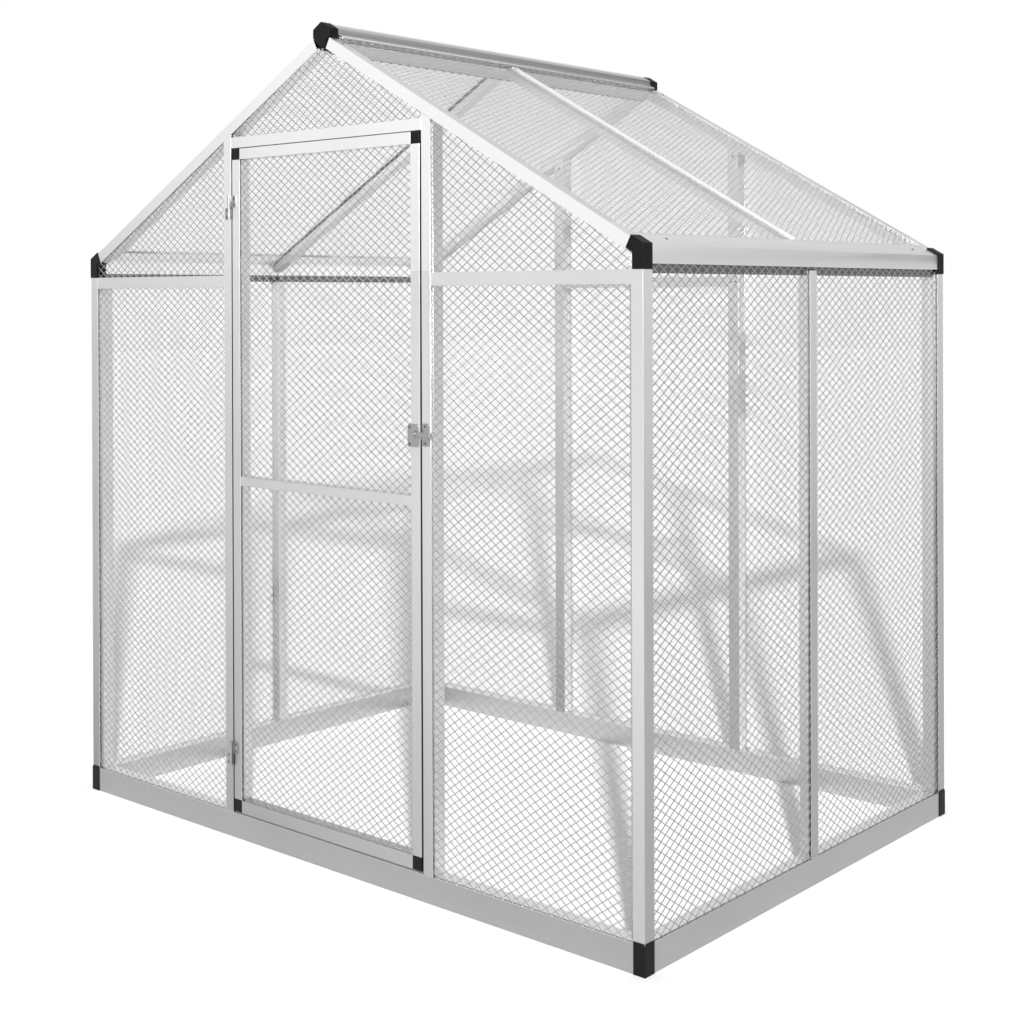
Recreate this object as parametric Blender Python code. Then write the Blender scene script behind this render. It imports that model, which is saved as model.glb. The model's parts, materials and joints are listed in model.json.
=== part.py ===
"""Garden aviary: a gabled cabin of grooved aluminium bars with expanded metal mesh and a hinged door.

Run with: blender --background --python part.py
Metres, +Z up. X runs along the gable with the door, Y runs into the depth, and the origin is the
middle of the footprint on the ground. The door's face is towards -Y.
"""

import math

import bmesh
import bpy
from mathutils import Vector

# Overall size
WIDTH = 1.88
DEPTH = 1.22
HEIGHT = 1.94

# What all bars share: a lip at the face, a slot behind it for the mesh, and a hollow body
GAP = 0.0003
WALL = 0.0016
SLOT = 0.006
SLOT_DEPTH = 0.006
SHEET = 0.001
SHEET_BITE = 0.0045
MESH_CELL = 0.14
MESH_WEB = 0.008
LEAST_OPENING = 0.001
CAP_PROUD = 0.0015
PLUG = 0.03
PLUG_SIDE = 0.0145
FACE_X = WIDTH / 2 - CAP_PROUD
FACE_Y = DEPTH / 2 - CAP_PROUD
SLOT_BACK = WALL + SLOT
SHEET_FRONT = WALL + GAP
PLUG_START = SLOT_BACK + WALL + GAP

# Base frame
SILL_HEIGHT = 0.06
SILL_DEPTH = 0.04
CORNER_FACE = 0.03
CORNER_RIM = 0.004
RIM_NOTCH = 0.003

# Uprights and ties
EAVE_TOP = 1.4085
EAVE_CAP_HEIGHT = 0.0465
EAVE_CAP_LOW = EAVE_TOP - EAVE_CAP_HEIGHT
POST_FACE = 0.03
POST_BODY = 0.039
BAR_FACE = 0.028
BAR_DEPTH = 0.038
TIE_FACE = 0.029
MID_POST_DEPTH = 0.031
REAR_POST_X = 0.319
REAR_POST_REBATE = 0.0035

# Roof: the eave's height, and drops below it and below the ridge
RIDGE_LINE_DROP = 0.0233
RIDGE_LINE = HEIGHT - RIDGE_LINE_DROP
TAN = (RIDGE_LINE - EAVE_TOP) / FACE_X
COS = 1 / math.sqrt(1 + TAN * TAN)
SIN = TAN * COS
RAFTER_FACE = 0.0275
RAFTER_DEPTH = 0.039
RAFTER_FOOT = 0.0353
RAFTER_HEAD_X = 0.0283
RAIL_DROP = 0.0355
RAIL_BOTTOM = EAVE_TOP - RAIL_DROP
RAIL_SKIN = 0.056
RAIL_LIP_INSET = 0.0109
RAIL_LIP_HANG = 0.019
RAIL_LIP_LOW = RAIL_BOTTOM - RAIL_LIP_HANG
RAIL_LEDGE = 0.0092
MESH_IN_RAIL = 0.012
CAP_COLUMN = 0.0275
CAP_ARM = 0.035
CAP_ARM_ABOVE = 0.004
CAP_ARM_BELOW = 0.0235
CAP_SHOULDER_DROP = 0.0135
CAP_SHOULDER = EAVE_TOP - CAP_SHOULDER_DROP
MID_RAFTER_DEPTH = 0.03
MID_RAFTER_FIN = 0.004
FIN_ABOVE = 0.004
RIDGE_CAP_PROUD = 0.001
RIDGE_TOP = HEIGHT - RIDGE_CAP_PROUD
RIDGE_HALF = 0.026
RIDGE_BEVEL = 0.014
RIDGE_EDGE = RIDGE_TOP - RIDGE_BEVEL
RIDGE_SIDE = 0.0125
RIDGE_WING_ROOT = RIDGE_EDGE - RIDGE_SIDE
RIDGE_WING_X = 0.04
RIDGE_WING_FALL = 0.0075
RIDGE_WING_TOP = RIDGE_WING_ROOT - RIDGE_WING_FALL
RIDGE_WING_GAP = 0.0048
RIDGE_CORE_DEPTH = 0.03
RIDGE_RAIL_HEIGHT = 0.071
RIDGE_BOTTOM = RIDGE_TOP - RIDGE_RAIL_HEIGHT
RIDGE_CAP_HALF = 0.0275
RIDGE_CAP_BEVEL = 0.016
RIDGE_CAP_EDGE = HEIGHT - RIDGE_CAP_BEVEL
RIDGE_CAP_UPRIGHT = 0.02
RIDGE_CAP_SIDE = RIDGE_CAP_EDGE - RIDGE_CAP_UPRIGHT
RIDGE_CAP_POINT = 0.025
RIDGE_CAP_BOTTOM = RIDGE_CAP_SIDE - RIDGE_CAP_POINT

# Doorway and door
DOOR_POST_LEFT = -0.336
DOOR_POST_RIGHT = 0.3275
HINGE_SIDE_GAP = 0.005
LATCH_SIDE_GAP = 0.0058
DOOR_FOOT_GAP = 0.004
DOOR_HEAD_GAP = 0.002
HEADER_FACE = 0.026
HEADER_BELOW_RAFTER = 0.0075
DOOR_LEFT = DOOR_POST_LEFT + HINGE_SIDE_GAP
DOOR_RIGHT = DOOR_POST_RIGHT - LATCH_SIDE_GAP
DOOR_LOW = SILL_HEIGHT + DOOR_FOOT_GAP
RAFTER_UNDERSIDE = EAVE_TOP + (FACE_X + DOOR_POST_LEFT) * TAN - RAFTER_FACE / COS
HEADER_LOW = RAFTER_UNDERSIDE - HEADER_BELOW_RAFTER - HEADER_FACE
DOOR_HIGH = HEADER_LOW - DOOR_HEAD_GAP
DOOR_DEPTH = 0.03
STILE_FACE = 0.028
DOOR_TOP_FACE = 0.026
DOOR_BOTTOM_FACE = 0.03
MID_RAIL_RISE = 0.79
MID_RAIL_LOW = DOOR_LOW + MID_RAIL_RISE
MID_RAIL_FACE = 0.022
DOOR_CORNER_PROUD = 0.0005

# Lift-off hinges and latch
PLATE = 0.0015
HINGE_ON_POST = 0.0005
HINGE_X = DOOR_POST_LEFT - HINGE_ON_POST
HINGE_AHEAD = 0.006
KNUCKLE_RADIUS = 0.0036
PIN_RADIUS = 0.00175
PIN_LENGTH = 0.02
LEAF_WIDTH = 0.02
LEAF_HEIGHT = 0.0285
UPPER_HINGE_DROP = 0.1418
LOWER_HINGE_RISE = 0.139
HINGE_HEIGHTS = {"upper": DOOR_HIGH - UPPER_HINGE_DROP, "lower": DOOR_LOW + LOWER_HINGE_RISE}
LATCH_INSET = 0.0152
LATCH_X = DOOR_RIGHT - LATCH_INSET
LATCH_RISE = 0.947
LATCH_Z = DOOR_LOW + LATCH_RISE
LATCH_PLATE_LEFT = 0.0225
LATCH_PLATE_RIGHT = 0.0115
LATCH_PLATE_BELOW = 0.028
LATCH_PLATE_ABOVE = 0.022
KEEPER_INSET = 0.0008
KEEPER_WIDTH = 0.0227
KEEPER_BELOW = 0.025
KEEPER_ABOVE = 0.025
PLATE_CORNER = 0.006
SHELF_INSET = 0.0035
SHELF_WIDTH = 0.017
SHELF_THICK = 0.0045
SHELF_AHEAD = 0.0058
PIVOT_RADIUS = 0.0028
PIVOT_HEAD_RADIUS = 0.0052
PIVOT_HEAD = 0.0012
LEVER_THICK = 0.0024
LEVER_EYE = 0.0078
LEVER_HALF = 0.0055
LEVER_PAST_POST = 0.0335
LEVER_END = DOOR_POST_RIGHT + LEVER_PAST_POST
KNOB_RADIUS = 0.0045
KNOB_AHEAD = 0.0062
ROUND_SIDES = 20

RAFTER_HEAD = (FACE_X - RAFTER_HEAD_X) / COS
RIDGE_CORE = RAFTER_HEAD + GAP
RAIL_END = DEPTH / 2 - CORNER_FACE - GAP
TIE_LOW = EAVE_CAP_LOW - TIE_FACE
FRONT_PLATE = FACE_Y + GAP + PLATE
HINGE_Y = -FACE_Y - HINGE_AHEAD

X_AXIS = Vector((1, 0, 0))
Y_AXIS = Vector((0, 1, 0))
Z_AXIS = Vector((0, 0, 1))

# Looks: base colour, metallic, roughness
LOOKS = {
    "silver_aluminium": ((0.68, 0.68, 0.69), 1.0, 0.38),
    "mesh_aluminium": ((0.60, 0.60, 0.61), 1.0, 0.45),
    "black_plastic": ((0.022, 0.022, 0.025), 0.0, 0.5),
    "zinc_steel": ((0.42, 0.42, 0.41), 1.0, 0.42),
}


def clear_scene():
    for scene_object in list(bpy.data.objects):
        bpy.data.objects.remove(scene_object)


def make_look(name):
    colour, metallic, roughness = LOOKS[name]
    look = bpy.data.materials.new(name)
    look.use_nodes = True
    shader = look.node_tree.nodes["Principled BSDF"]
    shader.inputs["Base Color"].default_value = (*colour, 1)
    shader.inputs["Metallic"].default_value = metallic
    shader.inputs["Roughness"].default_value = roughness
    return look


def frame_at(origin, first, second, along):
    """A function that turns section coordinates and a length into a point."""
    start = Vector(origin)
    first = Vector(first)
    second = Vector(second)
    along = Vector(along)

    def point(a, b, length):
        return start + first * a + second * b + along * length

    return point


def level(length):
    """A square end at this length."""
    return lambda a, b: length


def prism(name, loops, place, start, end):
    """A solid between two ends of a section: an outline and any holes in it."""
    shape = bmesh.new()
    rings = []
    for end_at in (start, end):
        edges = []
        ring = []
        for loop in loops:
            corners = [shape.verts.new(place(a, b, end_at(a, b))) for a, b in loop]
            following = corners[1:] + corners[:1]
            edges += [shape.edges.new(pair) for pair in zip(corners, following)]
            ring.append(corners)
        bmesh.ops.triangle_fill(shape, edges=edges, use_beauty=True, use_dissolve=False)
        rings.append(ring)
    for near, far in zip(*rings):
        for index, corner in enumerate(near):
            after = (index + 1) % len(near)
            shape.faces.new((corner, near[after], far[after], far[index]))
    bmesh.ops.recalc_face_normals(shape, faces=shape.faces)
    mesh = bpy.data.meshes.new(name)
    shape.to_mesh(mesh)
    shape.free()
    body = bpy.data.objects.new(name, mesh)
    bpy.context.scene.collection.objects.link(body)
    return body


def rectangle(low_a, high_a, low_b, high_b):
    return [(low_a, low_b), (high_a, low_b), (high_a, high_b), (low_a, high_b)]


def rounded_rectangle(low_a, high_a, low_b, high_b, radius):
    steps = 5
    centres = ((high_a, high_b, -1, -1), (low_a, high_b, 1, -1), (low_a, low_b, 1, 1), (high_a, low_b, -1, 1))
    points = []
    for quarter, (a, b, inward_a, inward_b) in enumerate(centres):
        for step in range(steps + 1):
            angle = math.pi / 2 * (quarter + step / steps)
            centre_a = a + inward_a * radius
            centre_b = b + inward_b * radius
            points.append((centre_a + radius * math.cos(angle), centre_b + radius * math.sin(angle)))
    return points


def circle(centre_a, centre_b, radius):
    turns = (2 * math.pi * (side + 0.5) / ROUND_SIDES for side in range(ROUND_SIDES))
    return [(centre_a + radius * math.cos(turn), centre_b + radius * math.sin(turn)) for turn in turns]


def combine(body, tool, operation="UNION"):
    """Joins the tool to the body, or cuts it from the body, and removes the tool."""
    modifier = body.modifiers.new("combine", "BOOLEAN")
    modifier.operation = operation
    modifier.solver = "EXACT"
    modifier.object = tool
    graph = bpy.context.evaluated_depsgraph_get()
    result = bpy.data.meshes.new_from_object(body.evaluated_get(graph))
    body.modifiers.clear()
    body.data = result
    bpy.data.objects.remove(tool)


def cut_box(body, place, first, second, along):
    """Cuts a box, given as three low and high pairs in the frame of the piece."""
    tool = prism("cutter", [rectangle(*first, *second)], place, level(along[0]), level(along[1]))
    combine(body, tool, "DIFFERENCE")


def join_box(body, place, first, second, along):
    tool = prism("joined", [rectangle(*first, *second)], place, level(along[0]), level(along[1]))
    combine(body, tool)


def finish(body, look, smooth=False):
    body.data.materials.clear()
    body.data.materials.append(look)
    if smooth:
        body.data.shade_smooth()
        body.data.set_sharp_from_angle(angle=math.radians(35))
    return body


def bar_section(low, high, depth, low_slot=False, high_slot=False, rebate=0.0):
    """Outline and hollow of a bar: across the face from low to high, and back to its depth."""
    wide_low = low - rebate
    wide_high = high + rebate
    outline = [(low, 0), (high, 0)]
    hollow_low = low + WALL + (SLOT_DEPTH if low_slot else 0)
    hollow_high = high - WALL - (SLOT_DEPTH if high_slot else 0)
    hollow = [(hollow_low, WALL), (hollow_high, WALL)]
    if high_slot:
        neck = high - SLOT_DEPTH
        outline += [(high, WALL), (neck, WALL), (neck, SLOT_BACK), (wide_high, SLOT_BACK)]
        hollow += [(hollow_high, SLOT_BACK + WALL), (wide_high - WALL, SLOT_BACK + WALL)]
    outline += [(wide_high, depth), (wide_low, depth)]
    hollow += [(wide_high - WALL, depth - WALL), (wide_low + WALL, depth - WALL)]
    if low_slot:
        neck = low + SLOT_DEPTH
        outline += [(wide_low, SLOT_BACK), (neck, SLOT_BACK), (neck, WALL), (low, WALL)]
        hollow += [(wide_low + WALL, SLOT_BACK + WALL), (hollow_low, SLOT_BACK + WALL)]
    return [outline, hollow]


def corner_section(face_a, body_a, face_b, body_b):
    """Outline and hollow of a bar at an edge of the cabin, with a face and a slot on both sides."""
    neck_a = face_a - SLOT_DEPTH
    neck_b = face_b - SLOT_DEPTH
    inside = SLOT_BACK + WALL
    outline = [(0, 0), (face_a, 0), (face_a, WALL), (neck_a, WALL), (neck_a, SLOT_BACK), (body_a, SLOT_BACK)]
    outline += [(body_a, body_b), (SLOT_BACK, body_b), (SLOT_BACK, neck_b), (WALL, neck_b), (WALL, face_b)]
    outline += [(0, face_b)]
    hollow = [(WALL, WALL), (neck_a - WALL, WALL), (neck_a - WALL, inside), (body_a - WALL, inside)]
    hollow += [(body_a - WALL, body_b - WALL), (inside, body_b - WALL), (inside, neck_b - WALL)]
    hollow += [(WALL, neck_b - WALL)]
    return [outline, hollow]


def slope_point(along, below):
    """A point of the roof's section as distance from the middle and height: along the slope from the
    eave's outer edge, and square below the roof's outer face."""
    return FACE_X - along * COS - below * SIN, EAVE_TOP + along * SIN - below * COS


def height_under_roof(across, below):
    """The height at a distance from the middle, at this depth square below the roof's outer face."""
    return EAVE_TOP + (FACE_X - abs(across)) * TAN - below / COS


def slope_frame(side_x, side_y=0):
    """Section coordinates below the roof face and inward along Y, with the length up the slope."""
    inward = Y_AXIS * (-side_y if side_y else 1)
    origin = (side_x * FACE_X, side_y * FACE_Y, EAVE_TOP)
    return frame_at(origin, (-side_x * SIN, 0, -COS), inward, (-side_x * COS, 0, SIN))


def corner_frame(side_x, side_y):
    """Section coordinates inward from a corner's two faces, with the length up."""
    return frame_at((side_x * FACE_X, side_y * FACE_Y, 0), (-side_x, 0, 0), (0, -side_y, 0), Z_AXIS)


def wall_frame(side_y, upright=True):
    """Front or rear wall: for an upright X, inward, Z, and for a level bar Z, inward, X."""
    origin = (0, side_y * FACE_Y, 0)
    inward = (0, -side_y, 0)
    return frame_at(origin, X_AXIS, inward, Z_AXIS) if upright else frame_at(origin, Z_AXIS, inward, X_AXIS)


def side_frame(side_x, upright=True):
    """Left or right wall: for an upright Y, inward, Z, and for a level bar Z, inward, Y."""
    origin = (side_x * FACE_X, 0, 0)
    inward = (-side_x, 0, 0)
    return frame_at(origin, Y_AXIS, inward, Z_AXIS) if upright else frame_at(origin, Z_AXIS, inward, Y_AXIS)


SIDES = {"left": -1, "right": 1}
ENDS = {"front": -1, "rear": 1}


def make_sills(look):
    """Four floor bars, whose ends slope so that they clear each other behind the corner blocks."""
    loops = bar_section(0, SILL_HEIGHT, SILL_DEPTH, high_slot=True)
    block = CORNER_FACE - CAP_PROUD + GAP
    splay = (SILL_DEPTH + GAP - block) / SILL_DEPTH
    for names, frame_of, face in ((ENDS, wall_frame, FACE_X), (SIDES, side_frame, FACE_Y)):
        for name, side in names.items():
            reach = face - block
            sill = prism(
                f"sill_{name}", loops, frame_of(side, upright=False),
                lambda z, inward, reach=reach: -reach + splay * inward,
                lambda z, inward, reach=reach: reach - splay * inward,
            )
            finish(sill, look)


def make_base_corner(name, side_x, side_y, look):
    """Black block with a plug in each sill, a spigot in the post and a rim round the post's foot."""
    place = corner_frame(side_x, side_y)
    low = -CAP_PROUD
    face = CORNER_FACE - CAP_PROUD
    kite = [(low, low), (face, low), (face, 0), (SILL_DEPTH, SILL_DEPTH), (0, face), (low, face)]
    body = prism(name, [kite], place, level(0), level(SILL_HEIGHT))
    plug_end = face + PLUG
    plug_side = (WALL + GAP, face - GAP)
    plug_height = (WALL + GAP, SILL_HEIGHT - SLOT_DEPTH - WALL - GAP)
    join_box(body, place, (PLUG_START, plug_end), plug_side, plug_height)
    join_box(body, place, plug_side, (PLUG_START, plug_end), plug_height)
    spigot = (PLUG_START, PLUG_START + PLUG_SIDE)
    join_box(body, place, spigot, spigot, (SILL_HEIGHT / 2, SILL_HEIGHT + PLUG))
    rim = (low, -GAP)
    rim_length = (low + RIM_NOTCH, face)
    rim_height = (SILL_HEIGHT - CORNER_RIM, SILL_HEIGHT + CORNER_RIM)
    join_box(body, place, rim, rim_length, rim_height)
    join_box(body, place, rim_length, rim, rim_height)
    finish(body, look)


def make_eave_cap(name, side_x, side_y, look):
    """Black cap over a corner post: a column, an arm at the rafter's foot, and three plugs."""
    outline = [(WIDTH / 2, EAVE_CAP_LOW), (WIDTH / 2 - CAP_COLUMN, EAVE_CAP_LOW)]
    outline += [(WIDTH / 2 - CAP_COLUMN, CAP_SHOULDER)]
    outline += [slope_point(CAP_ARM, CAP_ARM_BELOW), slope_point(CAP_ARM, -CAP_ARM_ABOVE)]
    outline += [(WIDTH / 2, height_under_roof(WIDTH / 2, -CAP_ARM_ABOVE))]
    place = frame_at((0, side_y * DEPTH / 2, 0), (side_x, 0, 0), Z_AXIS, (0, -side_y, 0))
    body = prism(name, [outline], place, level(0), level(CORNER_FACE))
    spigot = (PLUG_START, PLUG_START + PLUG_SIDE)
    column = (EAVE_CAP_LOW - PLUG, EAVE_CAP_LOW + PLUG / 2)
    join_box(body, corner_frame(side_x, side_y), spigot, spigot, column)
    arm = slope_frame(side_x, side_y)
    arm_plug = (PLUG_START, CAP_ARM_BELOW - SLOT_DEPTH / 2)
    join_box(body, arm, arm_plug, spigot, (CAP_ARM - PLUG / 2, CAP_ARM + PLUG))
    rail_plug = (SHEET_FRONT + 2 * SHEET, RAIL_LIP_INSET - WALL)
    rail_height = (RAIL_BOTTOM + SHEET_BITE, CAP_SHOULDER + GAP)
    tongue = frame_at((side_x * FACE_X, side_y * FACE_Y, 0), (-side_x, 0, 0), Z_AXIS, (0, -side_y, 0))
    join_box(body, tongue, rail_plug, rail_height, (CORNER_FACE / 2, CORNER_FACE + PLUG))
    finish(body, look)


def make_corner_post(name, side_x, side_y, look):
    """Post with a face and a slot on both sides, notched for the hanging lip of the eave rail."""
    loops = corner_section(POST_FACE, POST_BODY, POST_FACE, POST_BODY)
    foot = level(SILL_HEIGHT + GAP)
    place = corner_frame(side_x, side_y)
    post = prism(name, loops, place, foot, level(EAVE_CAP_LOW - GAP))
    lip_room = (RAIL_LIP_INSET - GAP, RAIL_LIP_INSET + WALL + GAP)
    beside_rail = (FACE_Y - RAIL_END - GAP, POST_BODY + GAP)
    cut_box(post, place, lip_room, beside_rail, (RAIL_LIP_LOW - GAP, EAVE_CAP_LOW))
    finish(post, look)


def make_gable_rafter(name, side_x, side_y, look):
    """Rafter at a gable: a face to the front and a face on top, notched where the eave rail passes."""
    loops = corner_section(RAFTER_FACE, RAFTER_FACE, RAFTER_FACE, RAFTER_DEPTH)
    place = slope_frame(side_x, side_y)
    rafter = prism(name, loops, place, level(RAFTER_FOOT), level(RAFTER_HEAD))
    rail_corner = DEPTH / 2 - CAP_PROUD - RAIL_END - GAP
    cut_box(rafter, place, (SLOT_BACK - GAP, RAFTER_FACE + GAP), (rail_corner, RAFTER_DEPTH + GAP),
            (RAFTER_FOOT - GAP, RAIL_SKIN + GAP))
    finish(rafter, look)


def make_corners(metal, plastic):
    for end, side_y in ENDS.items():
        for side, side_x in SIDES.items():
            corner = f"{end}_{side}"
            make_base_corner(f"base_corner_{corner}", side_x, side_y, plastic)
            make_corner_post(f"corner_post_{corner}", side_x, side_y, metal)
            make_eave_cap(f"eave_cap_{corner}", side_x, side_y, plastic)
            make_gable_rafter(f"gable_rafter_{corner}", side_x, side_y, metal)


def rail_point(along, below):
    """A point of the eave rail's section: inward from the face, and height."""
    across, height = slope_point(along, below)
    return FACE_X - across, height


def make_eave_rail(name, side_x, look):
    """Open channel over the side wall with a sloping skin, a slot for the roof mesh and a hanging lip."""
    lip = RAIL_LIP_INSET + WALL
    shelf = 2.5 * WALL
    slot_end = RAIL_SKIN - SLOT_DEPTH
    outline = [(0, RAIL_BOTTOM), (0, EAVE_TOP), rail_point(RAIL_SKIN, 0), rail_point(RAIL_SKIN, WALL)]
    outline += [rail_point(slot_end, WALL), rail_point(slot_end, SLOT_BACK)]
    outline += [rail_point(RAIL_SKIN, SLOT_BACK), rail_point(RAIL_SKIN, RAIL_LEDGE)]
    outline += [(lip, height_under_roof(FACE_X - lip, RAIL_LEDGE)), (lip, RAIL_LIP_LOW)]
    outline += [(RAIL_LIP_INSET, RAIL_LIP_LOW)]
    outline += [(a, height_under_roof(FACE_X - a, shelf)) for a in (RAIL_LIP_INSET, WALL)]
    outline += [(WALL, RAIL_BOTTOM)]
    hollow_start = lip / COS + WALL
    hollow = [rail_point(hollow_start, WALL), rail_point(slot_end - WALL, WALL)]
    hollow += [rail_point(slot_end - WALL, SLOT_BACK), rail_point(hollow_start, SLOT_BACK)]
    place = frame_at((side_x * FACE_X, 0, 0), (-side_x, 0, 0), Z_AXIS, Y_AXIS)
    finish(prism(name, [outline, hollow], place, level(-RAIL_END), level(RAIL_END)), look)


def make_mid_rafter(name, side_x, look):
    """Middle rafter: a thin fin above the roof mesh, a body under it and a tongue to the rail's lip."""
    half = BAR_FACE / 2
    fin = MID_RAFTER_FIN / 2
    top = SHEET_FRONT + SHEET + GAP
    section = [(-FIN_ABOVE, -fin), (-FIN_ABOVE, fin), (top, fin), (top, half), (MID_RAFTER_DEPTH, half)]
    section += [(MID_RAFTER_DEPTH, -half), (top, -half), (top, -fin)]
    place = slope_frame(side_x)
    body = prism(name, [section], place, level(RAIL_SKIN + GAP), level(RAFTER_HEAD))
    tongue = rectangle(RAIL_LEDGE + 2 * GAP, MID_RAFTER_DEPTH - GAP, GAP - half, half - GAP)
    lip_clear = RAIL_LIP_INSET + WALL + GAP

    def clear_of_lip(below, y):
        return (lip_clear - below * SIN) / COS

    root = prism("tongue", [tongue], place, clear_of_lip, level(2 * RAIL_SKIN))
    combine(body, root)
    finish(body, look)


def mirrored(half):
    """A closed section from its right half, which starts and ends in the middle or ends there."""
    left = [(-a, b) for a, b in reversed(half) if a > GAP]
    return half + left


def make_ridge(metal, plastic):
    """Ridge rail with a slot on each side for the roof mesh, and a black cap at each end."""
    half = [(0, RIDGE_TOP), (RIDGE_HALF, RIDGE_EDGE), (RIDGE_HALF, RIDGE_WING_ROOT)]
    half += [(RIDGE_WING_X, RIDGE_WING_TOP), (RIDGE_WING_X, height_under_roof(RIDGE_WING_X, -RIDGE_WING_GAP))]
    half += [slope_point(RIDGE_CORE, -RIDGE_WING_GAP), slope_point(RIDGE_CORE, WALL)]
    half += [slope_point(RIDGE_CORE + SLOT_DEPTH, below) for below in (WALL, SLOT_BACK)]
    half += [slope_point(RIDGE_CORE, SLOT_BACK), slope_point(RIDGE_CORE, RIDGE_CORE_DEPTH), (0, RIDGE_BOTTOM)]
    hollow_half = [(0, RIDGE_TOP - WALL), (RIDGE_HALF - WALL, RIDGE_EDGE - WALL / 2)]
    hollow_half += [(RIDGE_HALF - WALL, RIDGE_WING_ROOT)]
    hollow_half += [slope_point(RIDGE_CORE + SLOT_DEPTH + WALL, SLOT_BACK)]
    hollow_half.append(slope_point(RIDGE_CORE + 2 * WALL, RIDGE_CORE_DEPTH - 2 * WALL))
    hollow_half.append((0, RIDGE_BOTTOM + 2 * WALL))
    place = frame_at((0, 0, 0), X_AXIS, Z_AXIS, Y_AXIS)
    loops = [mirrored(half), mirrored(hollow_half)]
    finish(prism("ridge_rail", loops, place, level(-RAIL_END), level(RAIL_END)), metal)

    outline = mirrored([
        (0, HEIGHT), (RIDGE_CAP_HALF, RIDGE_CAP_EDGE),
        (RIDGE_CAP_HALF, RIDGE_CAP_SIDE), (0, RIDGE_CAP_BOTTOM),
    ])
    inset = 2 * WALL + GAP
    plug = mirrored([
        (0, RIDGE_TOP - inset), (RIDGE_HALF - inset, RIDGE_EDGE - inset),
        (RIDGE_HALF - inset, RIDGE_WING_ROOT),
        (RIDGE_HALF / 3, RIDGE_CAP_BOTTOM + PLUG_SIDE), (0, RIDGE_CAP_BOTTOM + SLOT),
    ])
    for end, side_y in ENDS.items():
        outward = frame_at((0, side_y * DEPTH / 2, 0), X_AXIS, Z_AXIS, (0, -side_y, 0))
        cap = prism(f"ridge_cap_{end}", [outline], outward, level(0), level(CORNER_FACE))
        combine(cap, prism("plug", [plug], outward, level(CORNER_FACE / 2), level(CORNER_FACE + PLUG)))
        for side_x in SIDES.values():
            join_box(cap, slope_frame(side_x, side_y), (PLUG_START, PLUG_START + SLOT),
                     (PLUG_START, PLUG_START + PLUG_SIDE), (RAFTER_HEAD - PLUG, RAFTER_HEAD + 2 * SLOT))
        finish(cap, plastic)


def roof_cut(across_sign, below):
    """An upright's top end, cut parallel to the roof at this depth below its outer face."""
    return lambda x, inward: EAVE_TOP + (FACE_X - across_sign * x) * TAN - below / COS


def make_uprights(metal):
    """Door posts, rear posts and side mid posts."""
    foot = level(SILL_HEIGHT + GAP)
    front = wall_frame(-1)
    under = RAFTER_FACE + GAP
    left = bar_section(DOOR_POST_LEFT - BAR_FACE, DOOR_POST_LEFT, BAR_DEPTH, low_slot=True)
    right = bar_section(DOOR_POST_RIGHT, DOOR_POST_RIGHT + BAR_FACE, BAR_DEPTH, high_slot=True)
    finish(prism("door_post_left", left, front, foot, roof_cut(-1, under)), metal)
    finish(prism("door_post_right", right, front, foot, roof_cut(1, under)), metal)
    half = BAR_FACE / 2
    for name, side in SIDES.items():
        middle = side * REAR_POST_X
        loops = bar_section(middle - half, middle + half, BAR_DEPTH, True, True, REAR_POST_REBATE)
        finish(prism(f"rear_post_{name}", loops, wall_frame(1), foot, roof_cut(side, under)), metal)
        loops = bar_section(-half, half, MID_POST_DEPTH, True, True)
        place = side_frame(side)
        top = RAIL_LIP_LOW + RAIL_LIP_INSET
        post = prism(f"side_mid_post_{name}", loops, place, foot, level(top))
        lip_clear = (RAIL_LIP_INSET - GAP, MID_POST_DEPTH + GAP)
        cut_box(post, place, (-half - GAP, half + GAP), lip_clear, (RAIL_LIP_LOW - GAP, top + GAP))
        finish(post, metal)


def make_ties(metal):
    """Level bars under the gables, notched round the wider bodies of the posts that they meet."""
    tie = bar_section(TIE_LOW, EAVE_CAP_LOW, BAR_DEPTH, True, True)
    height = (TIE_LOW - GAP, EAVE_CAP_LOW + GAP)
    behind = (SLOT_BACK - GAP, BAR_DEPTH + GAP)
    post_face = FACE_X - POST_FACE - GAP
    post_body = FACE_X - POST_BODY - GAP
    place = wall_frame(-1, upright=False)
    outer = {"left": DOOR_POST_LEFT - BAR_FACE - GAP, "right": DOOR_POST_RIGHT + BAR_FACE + GAP}
    for name, side in SIDES.items():
        low, high = sorted((side * post_face, outer[name]))
        body = prism(f"front_tie_{name}", tie, place, level(low), level(high))
        cut_box(body, place, height, behind, sorted((side * post_body, side * FACE_X)))
        finish(body, metal)
    reach = REAR_POST_X - BAR_FACE / 2 - GAP
    place = wall_frame(1, upright=False)
    rear = prism("rear_tie", tie, place, level(-reach), level(reach))
    for side in SIDES.values():
        across = sorted((side * (reach - REAR_POST_REBATE), side * (reach + PLUG)))
        cut_box(rear, place, height, behind, across)
    finish(rear, metal)
    header = bar_section(HEADER_LOW, HEADER_LOW + HEADER_FACE, BAR_DEPTH, high_slot=True)
    place = wall_frame(-1, upright=False)
    ends = (level(DOOR_POST_LEFT + GAP), level(DOOR_POST_RIGHT - GAP))
    finish(prism("door_header", header, place, *ends), metal)


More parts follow.
